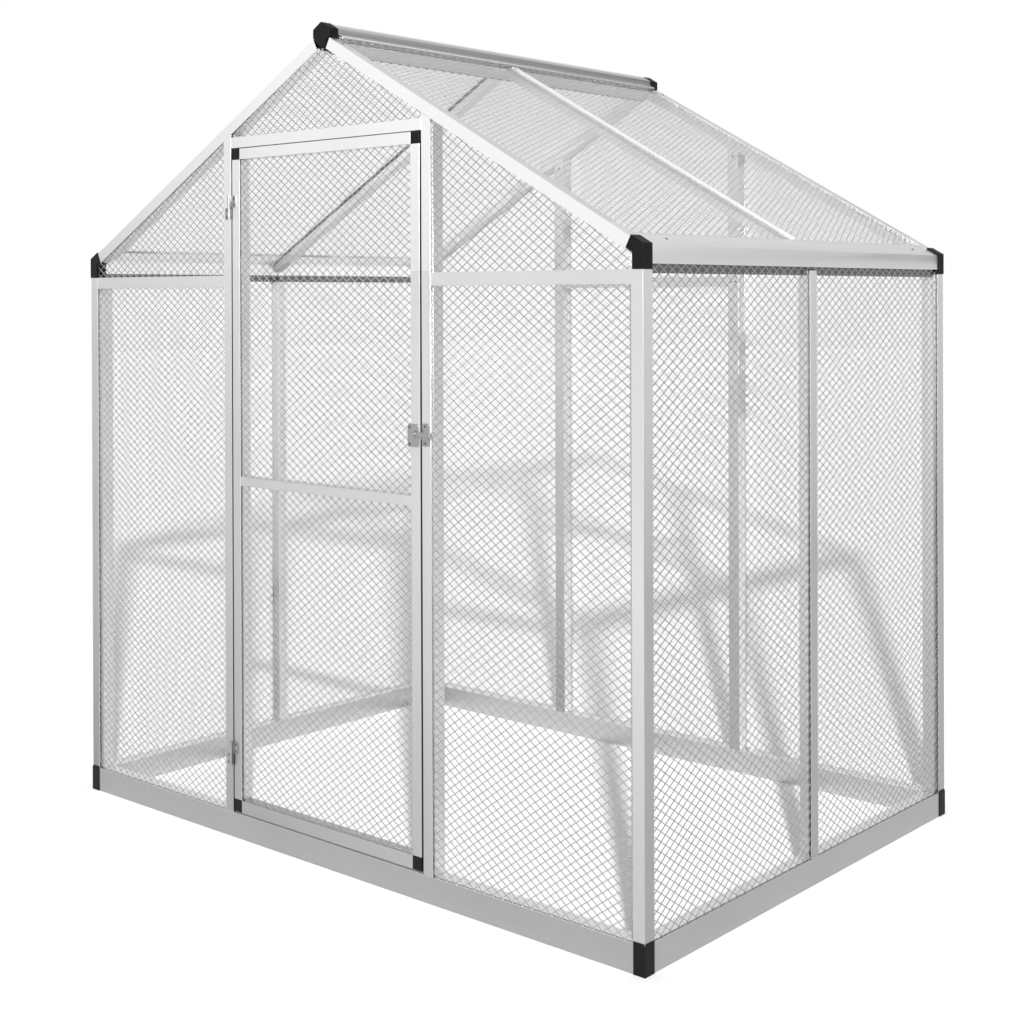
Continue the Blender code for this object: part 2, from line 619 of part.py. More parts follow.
def gable_edge():
    """Right edge of a gable's mesh, from the corner block up to the middle under the ridge cap."""
    clear_block = FACE_X - CORNER_FACE - 2 * GAP
    in_post = FACE_X - POST_FACE + SHEET_BITE
    over_sill = SILL_HEIGHT + 2 * GAP
    under_cap = EAVE_CAP_LOW - 2 * GAP
    clear_cap = WIDTH / 2 - CAP_COLUMN - 2 * SHEET
    in_rafter = RAFTER_FACE - SHEET_BITE
    foot = RAFTER_FOOT + SHEET
    return [
        (clear_block, SILL_HEIGHT - SHEET_BITE), (clear_block, over_sill), (in_post, over_sill),
        (in_post, under_cap), (clear_cap, under_cap), (clear_cap, CAP_SHOULDER - SLOT_DEPTH),
        slope_point(RAFTER_FOOT - SHEET, RAFTER_FACE + 2 * SHEET), slope_point(foot, RAFTER_FACE + 2 * SHEET),
        slope_point(foot, in_rafter), slope_point(RAFTER_HEAD - SHEET, in_rafter),
        (0, RIDGE_CAP_BOTTOM - 2 * SHEET),
    ]


def clipped(loop, bay):
    """The part of a loop that lies in a convex bay, whose corners run anticlockwise."""
    for corner, after in zip(bay, bay[1:] + bay[:1]):
        corner = Vector(corner)
        inward = (Vector(after) - corner).orthogonal().normalized()
        kept = []
        for first, second in zip(loop, loop[1:] + loop[:1]):
            here = inward.dot(Vector(first) - corner)
            there = inward.dot(Vector(second) - corner)
            if here >= 0:
                kept.append(first)
            if here * there < 0:
                kept.append(tuple(Vector(first).lerp(Vector(second), here / (here - there))))
        loop = kept
    return loop


def area(loop):
    pairs = zip(loop, loop[1:] + loop[:1])
    return abs(sum(a * next_b - next_a * b for (a, b), (next_a, next_b) in pairs)) / 2


def openings(bay):
    """A plain grid of openings over a convex bay between bars, cut short along its sloping edges."""
    low_a, high_a = min(a for a, b in bay), max(a for a, b in bay)
    low_b, high_b = min(b for a, b in bay), max(b for a, b in bay)
    columns = round((high_a - low_a) / MESH_CELL)
    rows = round((high_b - low_b) / MESH_CELL)
    step_a = (high_a - low_a) / columns
    step_b = (high_b - low_b) / rows
    loops = []
    for column in range(columns):
        for row in range(rows):
            span_a = (low_a + column * step_a + MESH_WEB / 2, low_a + (column + 1) * step_a - MESH_WEB / 2)
            span_b = (low_b + row * step_b + MESH_WEB / 2, low_b + (row + 1) * step_b - MESH_WEB / 2)
            loop = clipped(rectangle(*span_a, *span_b), bay)
            if area(loop) > LEAST_OPENING:
                loops.append(loop)
    return loops


def bay_under_roof(low_x, high_x, low_z):
    """A bay between two uprights, closed by the gable rafters and kept under the ridge cap."""
    tops = [high_x, RIDGE_CAP_HALF, -RIDGE_CAP_HALF, low_x] if low_x < 0 < high_x else [high_x, low_x]
    below = RAFTER_FACE + MESH_WEB / 2
    return [(low_x, low_z), (high_x, low_z)] + [(x, height_under_roof(x, below)) for x in tops]


def mesh_sheet(name, loops, bays, place, look):
    """A sheet with its outline and holes, and a grid of openings in each bay that the bars leave clear."""
    grid = [loop for bay in bays for loop in openings(bay)]
    sheet = prism(name, loops + grid, place, level(SHEET_FRONT), level(SHEET_FRONT + SHEET))
    return finish(sheet, look)


def make_front_mesh(look):
    """Front mesh in one piece round the doorway; it narrows to strips inside the slots past the bars."""
    sill_edge = SILL_HEIGHT - SHEET_BITE
    header_edge = HEADER_LOW + HEADER_FACE - SHEET_BITE
    strip = RAFTER_FACE - GAP
    left_slot = DOOR_POST_LEFT - BAR_FACE + SHEET_BITE
    right_slot = DOOR_POST_RIGHT + BAR_FACE - SHEET_BITE
    left_side = DOOR_POST_LEFT + GAP
    right_side = DOOR_POST_RIGHT - GAP
    doorway = [(left_slot, sill_edge), (left_slot, height_under_roof(left_slot, strip))]
    doorway += [(left_side, height_under_roof(left_side, strip)), (left_side, header_edge)]
    doorway += [(right_side, header_edge), (right_side, height_under_roof(right_side, strip))]
    doorway += [(right_slot, height_under_roof(right_slot, strip)), (right_slot, sill_edge)]
    tie_hole = (TIE_LOW + SHEET_BITE, EAVE_CAP_LOW - SHEET_BITE)
    left_hole = rectangle(POST_FACE - FACE_X, DOOR_POST_LEFT - BAR_FACE, *tie_hole)
    right_hole = rectangle(DOOR_POST_RIGHT + BAR_FACE, FACE_X - POST_FACE, *tie_hole)
    place = frame_at((0, -FACE_Y, 0), X_AXIS, Z_AXIS, Y_AXIS)
    outline = mirrored(gable_edge()) + doorway
    bays = []
    in_corner = FACE_X - POST_FACE
    for low, high in ((-in_corner, DOOR_POST_LEFT - BAR_FACE), (DOOR_POST_RIGHT + BAR_FACE, in_corner)):
        bays.append(rectangle(low, high, SILL_HEIGHT, TIE_LOW))
        bays.append(bay_under_roof(low, high, EAVE_CAP_LOW))
    bays.append(bay_under_roof(DOOR_POST_LEFT, DOOR_POST_RIGHT, HEADER_LOW + HEADER_FACE))
    mesh_sheet("mesh_front", [outline, left_hole, right_hole], bays, place, look)


def make_rear_mesh(look):
    strip = RAFTER_FACE - GAP
    half = BAR_FACE / 2 - SHEET_BITE
    holes = []
    for side in SIDES.values():
        low = side * REAR_POST_X - half
        high = side * REAR_POST_X + half
        tops = [(high, height_under_roof(high, strip)), (low, height_under_roof(low, strip))]
        holes.append([(low, SILL_HEIGHT), (high, SILL_HEIGHT)] + tops)
    lip = REAR_POST_X - BAR_FACE / 2
    holes.append(rectangle(-lip, lip, TIE_LOW + SHEET_BITE, EAVE_CAP_LOW - SHEET_BITE))
    outer = REAR_POST_X + BAR_FACE / 2
    in_corner = FACE_X - POST_FACE
    bays = [bay_under_roof(-in_corner, -outer, SILL_HEIGHT), bay_under_roof(outer, in_corner, SILL_HEIGHT)]
    bays += [rectangle(-lip, lip, SILL_HEIGHT, TIE_LOW), bay_under_roof(-lip, lip, EAVE_CAP_LOW)]
    place = frame_at((0, FACE_Y, 0), X_AXIS, Z_AXIS, -Y_AXIS)
    mesh_sheet("mesh_rear", [mirrored(gable_edge())] + holes, bays, place, look)


def make_side_mesh(name, side_x, look):
    clear_block = FACE_Y - CORNER_FACE - 2 * GAP
    in_post = FACE_Y - POST_FACE + SHEET_BITE
    over_sill = SILL_HEIGHT + 2 * GAP
    under_cap = EAVE_CAP_LOW - 2 * GAP
    half = [(clear_block, SILL_HEIGHT - SHEET_BITE), (clear_block, over_sill), (in_post, over_sill)]
    half += [(in_post, under_cap), (RAIL_END - GAP, under_cap), (RAIL_END - GAP, RAIL_BOTTOM + MESH_IN_RAIL)]
    edge = BAR_FACE / 2 - SHEET_BITE
    post_hole = rectangle(-edge, edge, SILL_HEIGHT, RAIL_LIP_LOW + RAIL_LIP_INSET + GAP)
    spans = ((POST_FACE - FACE_Y, -BAR_FACE / 2), (BAR_FACE / 2, FACE_Y - POST_FACE))
    bays = [rectangle(*span, SILL_HEIGHT, RAIL_LIP_LOW) for span in spans]
    place = frame_at((side_x * FACE_X, 0, 0), Y_AXIS, Z_AXIS, (-side_x, 0, 0))
    mesh_sheet(name, [mirrored(half), post_hole], bays, place, look)


def make_roof_mesh(name, side_x, look):
    """Sloping mesh from the eave rail's slot to the ridge rail's, slit for the middle rafter's fin."""
    in_rafter = FACE_Y - RAFTER_FACE + SHEET_BITE
    clear_cap = RAIL_END - GAP
    below_head = RAFTER_HEAD - SHEET
    half = [(in_rafter, RAIL_SKIN - SHEET_BITE), (in_rafter, below_head), (clear_cap, below_head)]
    half += [(clear_cap, RIDGE_CORE + SHEET_BITE)]
    fin = MID_RAFTER_FIN / 2 + GAP
    slit = rectangle(-fin, fin, RAIL_SKIN, RAFTER_HEAD + GAP)
    spans = ((RAFTER_FACE - FACE_Y, -BAR_FACE / 2), (BAR_FACE / 2, FACE_Y - RAFTER_FACE))
    under_wing = (FACE_X - RIDGE_WING_X) / COS
    bays = [rectangle(*span, RAIL_SKIN, under_wing) for span in spans]
    origin = (side_x * FACE_X, 0, EAVE_TOP)
    place = frame_at(origin, Y_AXIS, (-side_x * COS, 0, SIN), (-side_x * SIN, 0, -COS))
    mesh_sheet(name, [mirrored(half), slit], bays, place, look)


def make_door_frame(metal, plastic):
    """Two stiles and three rails, with a black block plugged into them at each corner."""
    upright = wall_frame(-1)
    lying = wall_frame(-1, upright=False)
    low_corner = DOOR_LOW + DOOR_BOTTOM_FACE
    high_corner = DOOR_HIGH - DOOR_TOP_FACE
    left_inner = DOOR_LEFT + STILE_FACE
    right_inner = DOOR_RIGHT - STILE_FACE
    heights = (level(low_corner + GAP), level(high_corner - GAP))
    widths = (level(left_inner + GAP), level(right_inner - GAP))
    mid_high = MID_RAIL_LOW + MID_RAIL_FACE
    left_stile = bar_section(DOOR_LEFT, left_inner, DOOR_DEPTH, high_slot=True)
    right_stile = bar_section(right_inner, DOOR_RIGHT, DOOR_DEPTH, low_slot=True)
    top_rail = bar_section(high_corner, DOOR_HIGH, DOOR_DEPTH, low_slot=True)
    middle_rail = bar_section(MID_RAIL_LOW, mid_high, DOOR_DEPTH, True, True)
    bottom_rail = bar_section(DOOR_LOW, low_corner, DOOR_DEPTH, high_slot=True)
    pieces = [
        prism("door_stile_left", left_stile, upright, *heights),
        prism("door_stile_right", right_stile, upright, *heights),
        prism("door_rail_top", top_rail, lying, *widths),
        prism("door_rail_middle", middle_rail, lying, *widths),
        prism("door_rail_bottom", bottom_rail, lying, *widths),
    ]
    for piece in pieces:
        finish(piece, metal)
    inside = (WALL + GAP, DOOR_DEPTH - WALL - GAP)
    for row, low, high, inner, step in (
        ("bottom", DOOR_LOW, low_corner, low_corner, 1), ("top", high_corner, DOOR_HIGH, high_corner, -1),
    ):
        for side, near, far, turn in (
            ("left", DOOR_LEFT, left_inner, 1), ("right", DOOR_RIGHT, right_inner, -1),
        ):
            block = rectangle(*sorted((near, far)), -DOOR_CORNER_PROUD, DOOR_DEPTH)
            corner = prism(f"door_corner_{row}_{side}", [block], upright, level(low), level(high))
            stile_plug = sorted((near + turn * (WALL + GAP), far - turn * (SLOT_DEPTH + WALL + GAP)))
            rail_edge = high if step < 0 else low
            rail_plug = sorted((rail_edge + step * (WALL + GAP), inner - step * (SLOT_DEPTH + WALL + GAP)))
            reach_up = sorted((inner - step * PLUG / 2, inner + step * PLUG))
            reach_in = sorted((far - turn * PLUG / 2, far + turn * PLUG))
            join_box(corner, upright, stile_plug, inside, reach_up)
            join_box(corner, upright, reach_in, inside, rail_plug)
            pieces.append(finish(corner, plastic))
    return pieces


def make_door_mesh(look):
    left = DOOR_LEFT + STILE_FACE
    right = DOOR_RIGHT - STILE_FACE
    low = DOOR_LOW + DOOR_BOTTOM_FACE
    high = DOOR_HIGH - DOOR_TOP_FACE
    outline = []
    for x, out_x, z, out_z in (
        (left, -1, low, -1), (right, 1, low, -1), (right, 1, high, 1), (left, -1, high, 1),
    ):
        clear_x = x - out_x * GAP
        clear_z = z - out_z * 2 * GAP
        slot_x = x + out_x * SHEET_BITE
        slot_z = z + out_z * SHEET_BITE
        step = [(slot_x, clear_z), (clear_x, clear_z), (clear_x, slot_z)]
        outline += step if out_x == out_z else list(reversed(step))
    rail_high = MID_RAIL_LOW + MID_RAIL_FACE
    rail = rectangle(left, right, MID_RAIL_LOW + SHEET_BITE, rail_high - SHEET_BITE)
    bays = [rectangle(left, right, low, MID_RAIL_LOW), rectangle(left, right, rail_high, high)]
    place = frame_at((0, -FACE_Y, 0), X_AXIS, Z_AXIS, Y_AXIS)
    return mesh_sheet("door_mesh", [outline, rail], bays, place, look)


def make_hinge_leaf(name, turn, low, look):
    """One leaf: a plate on the face beside the axis and half of the knuckle. turn is -1 on the frame."""
    ahead = frame_at((0, -FACE_Y, 0), X_AXIS, Z_AXIS, -Y_AXIS)
    plate = rounded_rectangle(*sorted((HINGE_X, HINGE_X + turn * LEAF_WIDTH)), low, low + LEAF_HEIGHT, PLATE)
    body = prism(name, [plate], ahead, level(GAP), level(GAP + PLATE))
    web_x = sorted((HINGE_X + turn * PLATE / 5, HINGE_X + turn * KNUCKLE_RADIUS * 0.8))
    web_depth = (GAP + PLATE / 4, HINGE_AHEAD - PLATE / 2)
    join_box(body, ahead, web_x, (low + GAP, low + LEAF_HEIGHT - GAP), web_depth)
    axis = frame_at((0, 0, 0), X_AXIS, Y_AXIS, Z_AXIS)
    ring = [circle(HINGE_X, HINGE_Y, KNUCKLE_RADIUS)]
    combine(body, prism("knuckle", ring, axis, level(low), level(low + LEAF_HEIGHT)))
    if turn < 0:
        pin = [circle(HINGE_X, HINGE_Y, PIN_RADIUS)]
        top = low + LEAF_HEIGHT
        combine(body, prism("pin", pin, axis, level(top - PIN_LENGTH / 2), level(top + PIN_LENGTH)))
    else:
        bore = [circle(HINGE_X, HINGE_Y, PIN_RADIUS + GAP)]
        tool = prism("bore", bore, axis, level(low - GAP), level(low + LEAF_HEIGHT + GAP))
        combine(body, tool, "DIFFERENCE")
    return finish(body, look, smooth=True)


def make_hinges(look):
    door_leaves = []
    for name, height in HINGE_HEIGHTS.items():
        make_hinge_leaf(f"hinge_frame_leaf_{name}", -1, height - GAP / 2 - LEAF_HEIGHT, look)
        door_leaves.append(make_hinge_leaf(f"hinge_door_leaf_{name}", 1, height + GAP / 2, look))
    return door_leaves


def make_latch(look):
    """Plate with a headed pivot on the door, a keeper with a shelf on the post, and a drop lever."""
    ahead = frame_at((0, -FACE_Y, 0), X_AXIS, Z_AXIS, -Y_AXIS)
    lever_back = 2 * GAP + PLATE
    lever_front = lever_back + LEVER_THICK
    plate_x = (LATCH_X - LATCH_PLATE_LEFT, LATCH_X + LATCH_PLATE_RIGHT)
    plate_z = (LATCH_Z - LATCH_PLATE_BELOW, LATCH_Z + LATCH_PLATE_ABOVE)
    outline = rounded_rectangle(*plate_x, *plate_z, PLATE_CORNER)
    plate = prism("latch_plate", [outline], ahead, level(GAP), level(GAP + PLATE))
    head_back = lever_front + GAP
    pivot = [circle(LATCH_X, LATCH_Z, PIVOT_RADIUS)]
    combine(plate, prism("pivot", pivot, ahead, level(GAP + PLATE / 2), level(head_back + PIVOT_HEAD / 2)))
    head = [circle(LATCH_X, LATCH_Z, PIVOT_HEAD_RADIUS)]
    combine(plate, prism("head", head, ahead, level(head_back), level(head_back + PIVOT_HEAD)))
    finish(plate, look, smooth=True)

    keeper_x = (DOOR_POST_RIGHT + KEEPER_INSET, DOOR_POST_RIGHT + KEEPER_INSET + KEEPER_WIDTH)
    keeper_z = (LATCH_Z - KEEPER_BELOW, LATCH_Z + KEEPER_ABOVE)
    outline = rounded_rectangle(*keeper_x, *keeper_z, PLATE_CORNER)
    keeper = prism("latch_keeper", [outline], ahead, level(GAP), level(GAP + PLATE))
    shelf_x = (DOOR_POST_RIGHT + SHELF_INSET, DOOR_POST_RIGHT + SHELF_INSET + SHELF_WIDTH)
    shelf_top = LATCH_Z - LEVER_HALF - GAP
    join_box(keeper, ahead, shelf_x, (shelf_top - SHELF_THICK, shelf_top), (2 * GAP, SHELF_AHEAD))
    finish(keeper, look, smooth=True)

    arm = rounded_rectangle(LATCH_X, LEVER_END, LATCH_Z - LEVER_HALF, LATCH_Z + LEVER_HALF, LEVER_HALF * 0.95)
    lever = prism("latch_lever", [arm], ahead, level(lever_back), level(lever_front))
    eye = [circle(LATCH_X, LATCH_Z, LEVER_EYE)]
    combine(lever, prism("eye", eye, ahead, level(lever_back), level(lever_front)))
    knob_x = LEVER_END - KNOB_RADIUS
    knob = [circle(knob_x, lever_front + KNOB_AHEAD - KNOB_RADIUS, KNOB_RADIUS)]
    curl = frame_at((0, -FACE_Y, 0), X_AXIS, -Y_AXIS, Z_AXIS)
    curl_ends = (level(LATCH_Z - LEVER_HALF * 0.9), level(LATCH_Z + LEVER_HALF * 0.9))
    combine(lever, prism("curl", knob, curl, *curl_ends))
    bore = [circle(LATCH_X, LATCH_Z, PIVOT_RADIUS + GAP)]
    tool = prism("bore", bore, ahead, level(lever_back - GAP), level(lever_front + GAP))
    combine(lever, tool, "DIFFERENCE")
    return plate, finish(lever, look, smooth=True)


def hang_on_axis(name, point, pieces, parent=None):
    """An empty on a joint's axis that carries pieces whose meshes are drawn in place."""
    empty = bpy.data.objects.new(name, None)
    bpy.context.scene.collection.objects.link(empty)
    empty.location = Vector(point) - (parent.location if parent else Vector())
    empty.parent = parent
    for piece in pieces:
        piece.parent = empty
        piece.location = -Vector(point)
    return empty


def main():
    clear_scene()
    metal = make_look("silver_aluminium")
    mesh_metal = make_look("mesh_aluminium")
    plastic = make_look("black_plastic")
    zinc = make_look("zinc_steel")
    make_sills(metal)
    make_corners(metal, plastic)
    for name, side in SIDES.items():
        make_eave_rail(f"eave_rail_{name}", side, metal)
        make_mid_rafter(f"mid_rafter_{name}", side, metal)
        make_side_mesh(f"mesh_{name}", side, mesh_metal)
        make_roof_mesh(f"mesh_roof_{name}", side, mesh_metal)
    make_ridge(metal, plastic)
    make_uprights(metal)
    make_ties(metal)
    make_front_mesh(mesh_metal)
    make_rear_mesh(mesh_metal)
    door_pieces = make_door_frame(metal, plastic)
    door_pieces.append(make_door_mesh(mesh_metal))
    door_pieces += make_hinges(zinc)
    latch_plate, lever = make_latch(zinc)
    door_pieces.append(latch_plate)
    door_axis = hang_on_axis("door_axis", (HINGE_X, HINGE_Y, 0), door_pieces)
    hang_on_axis("lever_axis", (LATCH_X, -FRONT_PLATE, LATCH_Z), [lever], door_axis)


main()
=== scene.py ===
"""Looks of a gabled garden aviary: satin aluminium bars, expanded metal mesh, black caps, zinc fittings."""

import json
import math

import bmesh
import bpy
from bpy.props import FloatProperty, FloatVectorProperty, IntProperty, PointerProperty
from mathutils import Matrix, Vector


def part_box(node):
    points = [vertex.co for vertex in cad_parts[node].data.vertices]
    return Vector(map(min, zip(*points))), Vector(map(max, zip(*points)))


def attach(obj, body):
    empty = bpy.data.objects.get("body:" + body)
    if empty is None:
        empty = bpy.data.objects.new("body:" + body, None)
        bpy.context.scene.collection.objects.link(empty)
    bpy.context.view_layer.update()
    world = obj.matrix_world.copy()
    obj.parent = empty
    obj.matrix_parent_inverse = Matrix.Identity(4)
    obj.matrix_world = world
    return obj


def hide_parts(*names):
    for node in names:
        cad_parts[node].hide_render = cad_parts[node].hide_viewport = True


bl_info = {
    "name": "Garden Aviary",
    "version": (1, 0, 0),
    "blender": (4, 5, 0),
    "location": "3D View > Sidebar > Aviary",
    "description": "Finishes a gabled aviary: bars, mesh, caps, door fittings, screws and a plain stage",
    "category": "Object",
}

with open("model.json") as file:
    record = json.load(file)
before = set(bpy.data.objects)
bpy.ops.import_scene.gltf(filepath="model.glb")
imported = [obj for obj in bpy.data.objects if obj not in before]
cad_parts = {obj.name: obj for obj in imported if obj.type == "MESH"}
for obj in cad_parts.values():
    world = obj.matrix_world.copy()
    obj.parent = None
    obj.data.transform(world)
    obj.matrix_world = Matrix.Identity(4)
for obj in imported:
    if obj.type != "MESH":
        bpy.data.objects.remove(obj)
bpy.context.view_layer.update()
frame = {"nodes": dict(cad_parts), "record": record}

SIDES = {"left": -1, "right": 1}
ENDS = {"front": -1, "rear": 1}
CORNERS = [f"{end}_{side}" for end in ENDS for side in SIDES]


def low(node, axis):
    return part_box(node)[0]["xyz".index(axis)]


def high(node, axis):
    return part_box(node)[1]["xyz".index(axis)]


# Faces and slots of the bars, read from the frame where a node shows them
FACE_X = high("corner_post_front_right", "x")
FACE_Y = high("corner_post_rear_right", "y")
SILL_TOP = high("sill_front", "z")
EAVE_LOW = high("front_tie_right", "z")
TIE_LOW = low("front_tie_right", "z")
EAVE_EDGE = 1.4085
RIDGE_LINE = 1.9167
ROOF_TAN = (RIDGE_LINE - EAVE_EDGE) / FACE_X
ROOF_PITCH = math.atan(ROOF_TAN)
POST_LIP = 0.03
BAR_LIP = 0.028
RAFTER_LIP = 0.0275
RAIL_SKIN = 0.056
MESH_BITE = 0.0045
MESH_DEPTH = 0.0029
RAIL_LOW = 1.3729
RIB_FIN = 0.0025
ROOF_SHEET = 0.012

# Limits in making the meshes: merged points, flat corners, upright lattice edges, sides of a cut strand
MERGE_WITHIN = 1e-6
FLAT_WITHIN = 0.002
UPRIGHT_SHARE = 0.1
CUT_SIDES = 8

# Painted light and shade on the bars by place: shade in the slots, a fall of shade towards the ground, the
# left and the rear, paler sill tops and insides, and bands along the ridge
SLOT_START = 0.0018
SLOT_END = 0.0075
SLOT_UNDER_ROOF = 0.004
SLOT_SHADE = (0.16, 0.15, 0.15)
SILL_TOP_SHADE = (0.92, 0.92, 0.92)
SILL_INSIDE_SHADE = (0.58, 0.58, 0.58)
SHADE_TO_LEFT = 0.14
SHADE_TO_REAR = 0.05
SHADE_TO_GROUND = 0.30
SHADE_START = 0.42
WALL_TONE = 0.80
INNER_TONE = 0.78
RIGHT_FROM = 0.85
RIGHT_START = 0.40
RIGHT_TO_GROUND = 0.12
RIGHT_LIGHT_FROM = 0.75
RIGHT_TO_EAVE = 0.65
HEADER_LOW = 1.365
FACING_SHARE = 0.5
RIB_HALF = 0.03
RIB_LINE = 0.014
RIB_FAINT = 0.3
# Bands of painted shade and light on the ridge rail: lowest height, highest height and tone
RIDGE_SHADE_BANDS = (
    (1.860, 1.8695, 0.14), (1.8695, 1.9035, 0.55), (1.9085, 1.9105, 0.24), (1.9125, 1.9250, 0.42),
    (1.9250, 1.9345, 0.62),
)

# Grain of the materials: noise scales per metre, roughness, and relief as strength and depth
METAL_TONES = (0.94, 1.05)
METAL_TONE_SCALE = 3.5
METAL_TONE_DETAIL = 2.0
METAL_SPREAD = 0.07
METAL_RELIEF = (0.12, 0.0002)
GRAIN_ACROSS = 900.0
GRAIN_ALONG = 6.0
GRAIN_DETAIL = 4.0
BAR_ROUGHNESS = 0.36
ZINC_ROUGHNESS = 0.38
ZINC_GRAIN = 500.0
SPANGLE_SCALE = 260.0
SPANGLE_SHARE = 0.3
SPANGLE_TONE = (0.2, 0.2, 0.2)
MESH_ROUGHNESS = 0.4
MESH_GRAIN = 300.0
PLASTIC_TONES = (0.8, 1.3)
PLASTIC_GRAIN = 900.0
PLASTIC_DETAIL = 3.0
PLASTIC_SHEEN = 0.15
PLASTIC_ROUGHNESS = (0.42, 0.58)
PLASTIC_RELIEF = (0.25, 0.0001)

# Screws: how far each lies inside its plate, bar or slope, and the shape of a head as shares of its size
FITTING_FACE = FACE_Y + 0.0018
HINGE_PLATE_HEIGHT = 0.0285
HINGE_SCREW_INSET = 0.0063
HINGE_SCREW_STEP = 0.0082
LATCH_SCREW_INSET = 0.0065
EAVE_SCREW_UP = 0.03
EAVE_SCREW_Y = 0.5
RIDGE_SCREW_UP = 1.0
SILL_SCREW_UP = 0.012
POST_SCREW_DOWN = 0.03
TIE_SCREW_STEP = 0.009
HEAD_RINGS = ((1.0, 0.0), (1.0, 0.35), (0.82, 0.8), (0.6, 1.0))
CROSS_LEVELS = (1.0, 0.35)
CROSS_REACH = 0.52
CROSS_WAIST = 0.17
CROSS_ARMS = 4
HEAD_CREASE = 0.7
FORWARD = (0, -1, 0)
BACKWARD = (0, 1, 0)

# Stage: a lamp that doesn't fade with distance, the side that metal mirrors brightest, and the camera
LAMP_PLACE = (3.83, -3.78, 3.27)
FLOOR_WHITE = 0.98
FLOOR_BELOW = 0.0005
BRIGHT_SIDE = (-0.55, -0.82, 0.15)
CAMERA_PLACE = (2.8085, -2.9649, 1.3115)
CAMERA_DEGREES = (89.82, 0.18, 38.75)
CAMERA_SHIFT = (-0.1195, -0.207)
SENSOR_WIDTH = 36.0


class AviaryMesh(bpy.types.PropertyGroup):
    gable_width: FloatProperty(
        name="Gable Width", description="Long way of a diamond at the ends", default=0.0272, unit="LENGTH")
    gable_height: FloatProperty(
        name="Gable Height", description="Short way of a diamond at the ends", default=0.0190, unit="LENGTH")
    side_width: FloatProperty(
        name="Side Width", description="Long way of a diamond at the sides", default=0.0284, unit="LENGTH")
    side_height: FloatProperty(
        name="Side Height", description="Short way of a diamond at the sides", default=0.0201, unit="LENGTH")
    roof_width: FloatProperty(
        name="Roof Width", description="Long way of a diamond on the roof", default=0.0279, unit="LENGTH")
    roof_height: FloatProperty(
        name="Roof Height", description="Short way of a diamond on the roof", default=0.0154, unit="LENGTH")
    strand_width: FloatProperty(
        name="Strand Width", description="Width of a strand", default=0.0024, unit="LENGTH")
    strand_depth: FloatProperty(
        name="Strand Depth", description="Thickness of the sheet", default=0.0009, unit="LENGTH")
    strand_tilt: FloatProperty(
        name="Strand Tilt", description="Turn that stretching gives a strand", default=0.3, unit="ROTATION")


class AviaryFinish(bpy.types.PropertyGroup):
    edge: FloatProperty(
        name="Edge", description="Bevel along the edges of the bars", default=0.0004, unit="LENGTH")
    round_angle: FloatProperty(
        name="Round Angle", description="Faces meeting at less shade as one", default=0.6, unit="ROTATION")
    aluminium: FloatVectorProperty(
        name="Aluminium", description="Colour of the bars", subtype="COLOR", default=(0.95, 0.95, 0.96))
    # Painted shade: the sills are coloured darker than the bars, standing in for the shade and darker
    # reflections they show
    sill_shaded_aluminium: FloatVectorProperty(
        name="Sill Aluminium", description="Colour of the sills", subtype="COLOR", default=(0.42, 0.42, 0.42))
    rail_aluminium: FloatVectorProperty(
        name="Rail Aluminium", description="Colour of the rails", subtype="COLOR", default=(0.93, 0.93, 0.94))
    mesh_metal: FloatVectorProperty(
        name="Mesh", description="Strands' outer side", subtype="COLOR", default=(0.50, 0.50, 0.51))
    # Painted light on the roof's strands
    mesh_roof: FloatVectorProperty(
        name="Roof Mesh", description="Brightness of the upper side of the roof's strands", size=3,
        subtype="COLOR", default=(0.70, 0.70, 0.70))
    # Painted light on the strands' inner side
    mesh_pale: FloatVectorProperty(
        name="Mesh Inside", description="Strands' inner side", subtype="COLOR", default=(0.93, 0.93, 0.93))
    plastic: FloatVectorProperty(
        name="Plastic", description="Colour of the caps", subtype="COLOR", default=(0.004, 0.004, 0.0045))
    screw_steel: FloatVectorProperty(
        name="Screws", description="Brightness of the screw heads", size=3, subtype="COLOR",
        default=(0.12, 0.12, 0.125))
    zinc: FloatVectorProperty(
        name="Zinc", description="Colour of hinges and latch", subtype="COLOR", default=(0.42, 0.42, 0.415))


class AviaryScrews(bpy.types.PropertyGroup):
    head: FloatProperty(
        name="Head", description="Diameter of a screw head", default=0.0062, unit="LENGTH")
    rise: FloatProperty(
        name="Rise", description="Height of a screw head", default=0.0012, unit="LENGTH")
    segments: IntProperty(
        name="Segments", description="Sides of a screw head", default=16)


class AviaryStage(bpy.types.PropertyGroup):
    floor_size: FloatProperty(
        name="Floor Size", description="Side of the floor", default=60.0, unit="LENGTH")
    daylight: FloatProperty(
        name="Daylight", description="Strength of the even light", default=0.52)
    floor_lift: FloatProperty(
        name="Floor Lift", description="How much whiter the floor looks than it lights", default=0.03)
    far_mirror: FloatProperty(
        name="Far Mirror", description="Strength that metal mirrors from behind the aviary", default=0.55)
    lamp: FloatProperty(
        name="Lamp", description="Power of the lamp, which stays the same at every distance", default=56.0)
    lamp_size: FloatProperty(
        name="Lamp Size", description="Radius, which softens the shadows", default=0.1, unit="LENGTH")
    lens: FloatProperty(
        name="Lens", description="Focal length in millimetres", default=55.17)


def feed(tree, socket, value):
    """Links a socket to another one, or sets it to a plain value."""
    if isinstance(value, bpy.types.NodeSocket):
        tree.links.new(value, socket)
    else:
        socket.default_value = value


def add_node(tree, kind, inputs=None, **settings):
    """A node with its settings, and its named inputs fed with sockets or plain values."""
    node = tree.nodes.new(kind)
    for name, value in settings.items():
        setattr(node, name, value)
    for name, value in (inputs or {}).items():
        feed(tree, node.inputs[name], value)
    return node


